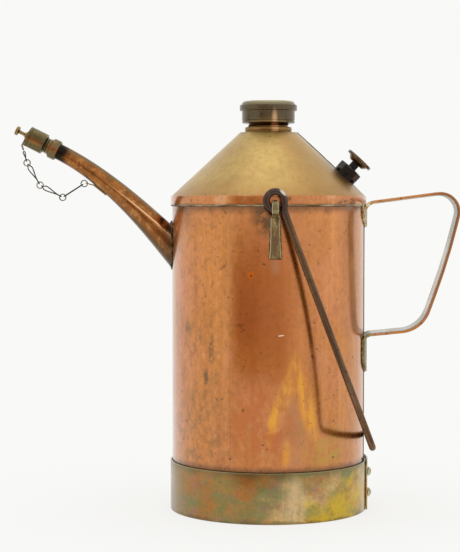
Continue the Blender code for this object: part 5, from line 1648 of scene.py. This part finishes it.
class OILCAN_OT_ears(bpy.types.Operator):
    """Folds a strip of tinned brass round the bail's eye on each side"""

    bl_idname = "oilcan.ears"
    bl_label = "Folded Ears"

    def fold(self, size):
        """The strip's middle line as (out, height) points, from the inner end to the outer end."""
        sheet = size.ear_sheet
        face = size.body_radius + SEAT_GAP
        hold = size.bail_wire + RUNNING_GAP
        out = face + size.rim_sheet + SEAT_GAP + sheet + RUNNING_GAP + size.bail_wire
        low = Vector((out, size.body_top - PIVOT_DROP - size.bail_eye))
        high = low + Vector((0, 0.003))
        round_to = hold + sheet / 2
        tab_top = low.y - hold - sheet - 0.0022
        tab_foot = tab_top - size.ear_length
        inner, outer = face + 0.00055, face + 0.00165
        pinch = Vector((outer, tab_top))
        path = [Vector((inner, tab_foot)), Vector((inner, tab_top))]
        for i in range(1, 9):
            share = i / 8
            x = between(inner, low.x - round_to, smooth_step(share))
            path.append(Vector((x, between(tab_top, low.y, share))))
        path += [Vector(p) for p in arc(high, round_to, 180, 0, 24)]
        towards = math.degrees(math.atan2(low.y - pinch.y, low.x - pinch.x))
        lean = math.degrees(math.asin(round_to / (pinch - low).length))
        path += [Vector(p) for p in arc(low, round_to, 0, towards - lean - 90, 12)]
        path += [pinch, Vector((outer, tab_foot + 0.0004))]
        return evenly(path, 0.0012), tab_top, tab_foot

    def half_width(self, size, share):
        """Half the strip's width at a share of the way down its tab, or above it if negative."""
        if share > 0:
            share = min(share, 1)
            return 0.0034 + 0.0009 * share - 0.0004 * math.sin(math.pi * share)
        return between(0.0034, size.ear_width / 2, smooth_step(-share * 14))

    def strip(self, size, path, tab_top, tab_foot, side):
        """The folded strip on one side of the can."""
        crown_top = max(p.y for p in path)
        crown_depth = 0.0036
        half_sheet, edge = 0.00047, 0.0002
        rings = []
        for p, along in zip(path, directions(path)):
            out = Vector((along.y, -along.x))
            half = self.half_width(size, (tab_top - p.y) / (tab_top - tab_foot))
            crown = max(0, p.y - crown_top + crown_depth) / crown_depth
            half *= math.sqrt(1 - 0.6 * crown**2)
            right = [(half - edge, half_sheet), (half, half_sheet - edge)]
            right += [(w, -t) for w, t in reversed(right)]
            ring = []
            for w, t in right + [(-w, t) for w, t in reversed(right)]:
                q = p + out * t
                ring.append(Vector((PIVOT_OFFSET + w, side * q.x, q.y)))
            rings.append(ring)
        return drawn(rings, False, [[1.0] * 4 + [-1.0] * 4] * len(rings))

    def execute(self, context):
        size, tone = settings(context)
        path, tab_top, tab_foot = self.fold(size)
        finish = ear_tin(tone)
        grey = solder_finish("ear_solder", painted(150, 140, 104), painted(84, 70, 44))
        face = size.body_radius + 0.0006
        top, foot = tab_top - 0.002, tab_foot - 0.0002
        edge = ((-0.0036, top), (-0.0044, foot), (0.0044, foot), (0.0036, top))
        for name, side in (("front", -1), ("back", 1)):
            strip = self.strip(size, path, tab_top, tab_foot, side)
            node = f"ear_{name}"
            add_piece(f"folded_ear_{name}", strip, finish, "can", [node], None, 35)
            corners = []
            for w, z in edge:
                across = PIVOT_OFFSET + w
                corners.append(Vector((across, side * math.sqrt(face**2 - across**2), z)))
            run = rolling(evenly(corners, 0.0008), 0.0002, 0.003)
            add_solder(f"ear_solder_{name}", run, grey, 0.00042, 0.4)
        return {"FINISHED"}


class OILCAN_OT_carried(bpy.types.Operator):
    """Gives the base plate, gaskets and washers their finishes"""

    bl_idname = "oilcan.carried"
    bl_label = "Base Plate and Washers"

    def execute(self, context):
        tone = settings(context)[1]
        leather = leather_finish(tone)
        for node in ("filler_gasket", "spout_cap_seal", "vent_washer"):
            self.paint(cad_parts[node], leather)
        clean, dark = painted(150, 98, 62), painted(70, 48, 32)
        base = bronze_finish("base_copper", clean, tone.brown_copper, dark, 0.34, 0.5)
        self.paint(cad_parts["base_plate"], base)
        return {"FINISHED"}

    def paint(self, node, finish):
        if not node.material_slots:
            node.data.materials.append(finish)
        for slot in node.material_slots:
            slot.material = finish


class OILCAN_OT_stage(bpy.types.Operator):
    """Lays the studio floor and sets the lamps, the pale world and the camera"""

    bl_idname = "oilcan.stage"
    bl_label = "Studio"

    def floor(self, tone):
        shape = bmesh.new()
        bmesh.ops.create_grid(shape, x_segments=2, y_segments=2, size=6)
        paint, n, surface = bare_material("pale_floor")
        fade = n.ramp(n.far(n.where()), 0.08, 0.42, 0.8)
        matt = n.shine("ShaderNodeBsdfDiffuse", tone.floor)
        glow = n.shine("ShaderNodeEmission", BACKDROP)
        n.feed(surface, n.blended(n.times(fade, n.seen()), matt, glow))
        floor = linked("studio_floor", mesh_from("studio_floor", shape, paint))

    def card(self):
        """A soft-edged grey card in front of the can, which only its reflections show."""
        shape = bmesh.new()
        bmesh.ops.create_grid(shape, x_segments=1, y_segments=1, size=0.5)
        turn = Matrix.Translation((-0.14, -0.80, 0.30)) @ Matrix.Rotation(-math.pi / 2, 4, "X")
        shape.transform(turn @ Matrix.Diagonal((1.4, 0.62, 1, 1)))
        paint, n, surface = bare_material("grey_card")
        inputs = {"Value": n.axis("X"), "From Min": -0.84, "From Max": 0.56}
        along = n.node("ShaderNodeMapRange", inputs).outputs[0]
        across = n.node("ShaderNodeValToRGB", {"Fac": along})
        stops = across.color_ramp
        stops.interpolation = "EASE"
        for stop, place in zip(stops.elements, (0.03, 0.97)):
            stop.position = place
            stop.color = (0, 0, 0, 1)
        for place, cover in ((0.20, 1.0), (0.42, 0.95), (0.60, 0.62), (0.80, 0.5)):
            stops.elements.new(place).color = (cover, cover, cover, 1)
        top = n.ramp(n.axis("Z"), 0.30, 0.60, 1.0, 0.0)
        clear = n.shine("ShaderNodeBsdfTransparent")
        grey = n.shine("ShaderNodeEmission", (0.52, 0.36, 0.26))
        n.feed(surface, n.blended(n.times(across.outputs["Color"], top), clear, grey))
        card = linked("grey_card", mesh_from("grey_card", shape, paint))
        card.visible_camera = False
        card.visible_diffuse = False
        card.visible_shadow = False
        card.visible_transmission = False

    def lamp(self, name, place, wide, high, radiance):
        data = bpy.data.lights.new(name, "AREA")
        data.shape = "RECTANGLE"
        data.size = wide
        data.size_y = high
        data.energy = radiance * math.pi * wide * high
        lamp = linked(name, data)
        lamp.location = place
        aim = Vector((0, 0, 0.15)) - Vector(place)
        lamp.rotation_euler = aim.to_track_quat("-Z", "Y").to_euler()

    def world(self):
        world = bpy.data.worlds.new("pale_studio")
        world.use_nodes = True
        bpy.context.scene.world = world
        n = Nodes(world.node_tree)
        n.tree.nodes.remove(n.tree.nodes["Background"])
        soft = n.shine("ShaderNodeBackground", (1, 1, 1), 0.95)
        white = n.shine("ShaderNodeBackground", BACKDROP, 1.0)
        surface = n.tree.nodes["World Output"].inputs["Surface"]
        n.feed(surface, n.blended(n.seen(), soft, white))

    def camera(self):
        data = bpy.data.cameras.new("studio_camera")
        data.sensor_fit = "AUTO"
        data.sensor_width = 36
        data.lens = 108.26
        camera = linked("studio_camera", data)
        camera.location = (0.0126, -1.2453, 0.2275)
        camera.rotation_euler = (math.radians(87.55), 0, math.radians(1.9))
        bpy.context.scene.camera = camera

    def execute(self, context):
        self.floor(settings(context)[1])
        self.card()
        self.lamp("left_softbox", (-1.5, -0.5, 0.75), 1.1, 1.1, 0.08)
        self.lamp("right_softbox", (1.5, -0.4, 0.75), 1.0, 1.1, 0.12)
        self.lamp("top_softbox", (0.05, 0.15, 1.75), 1.1, 1.1, 0.45)
        self.world()
        self.camera()
        context.scene.view_settings.view_transform = "Standard"
        return {"FINISHED"}


class OILCAN_PT_panel(bpy.types.Panel):
    """Buttons for the oil can's pieces"""

    bl_label = "Oil Can"
    bl_idname = "OILCAN_PT_panel"
    bl_space_type = "VIEW_3D"
    bl_region_type = "UI"
    bl_category = "Oil Can"

    def draw(self, context):
        layout = self.layout
        for operator in OPERATORS:
            layout.operator(operator.bl_idname)
        for title, group in zip(("Sizes", "Colours"), settings(context)):
            box = layout.box()
            box.label(text=title)
            for name in group.__annotations__:
                box.prop(group, name)


OPERATORS = (
    OILCAN_OT_stage,
    OILCAN_OT_body,
    OILCAN_OT_foot,
    OILCAN_OT_cone,
    OILCAN_OT_filler,
    OILCAN_OT_vent,
    OILCAN_OT_spout,
    OILCAN_OT_spout_cap,
    OILCAN_OT_chain,
    OILCAN_OT_handle,
    OILCAN_OT_bail,
    OILCAN_OT_ears,
    OILCAN_OT_carried,
)
CLASSES = (OilCanSizes, OilCanColours, *OPERATORS, OILCAN_PT_panel)


def register():
    for cls in CLASSES:
        bpy.utils.register_class(cls)
    bpy.types.Scene.oil_can_sizes = PointerProperty(type=OilCanSizes)
    bpy.types.Scene.oil_can_colours = PointerProperty(type=OilCanColours)


def unregister():
    del bpy.types.Scene.oil_can_colours
    del bpy.types.Scene.oil_can_sizes
    for cls in reversed(CLASSES):
        bpy.utils.unregister_class(cls)


def main():
    register()
    bpy.ops.oilcan.stage()
    bpy.ops.oilcan.body()
    bpy.ops.oilcan.foot()
    bpy.ops.oilcan.cone()
    bpy.ops.oilcan.filler()
    bpy.ops.oilcan.vent()
    bpy.ops.oilcan.spout()
    bpy.ops.oilcan.spout_cap()
    bpy.ops.oilcan.chain()
    bpy.ops.oilcan.handle()
    bpy.ops.oilcan.bail()
    bpy.ops.oilcan.ears()
    bpy.ops.oilcan.carried()


if __name__ == "__main__":
    main()
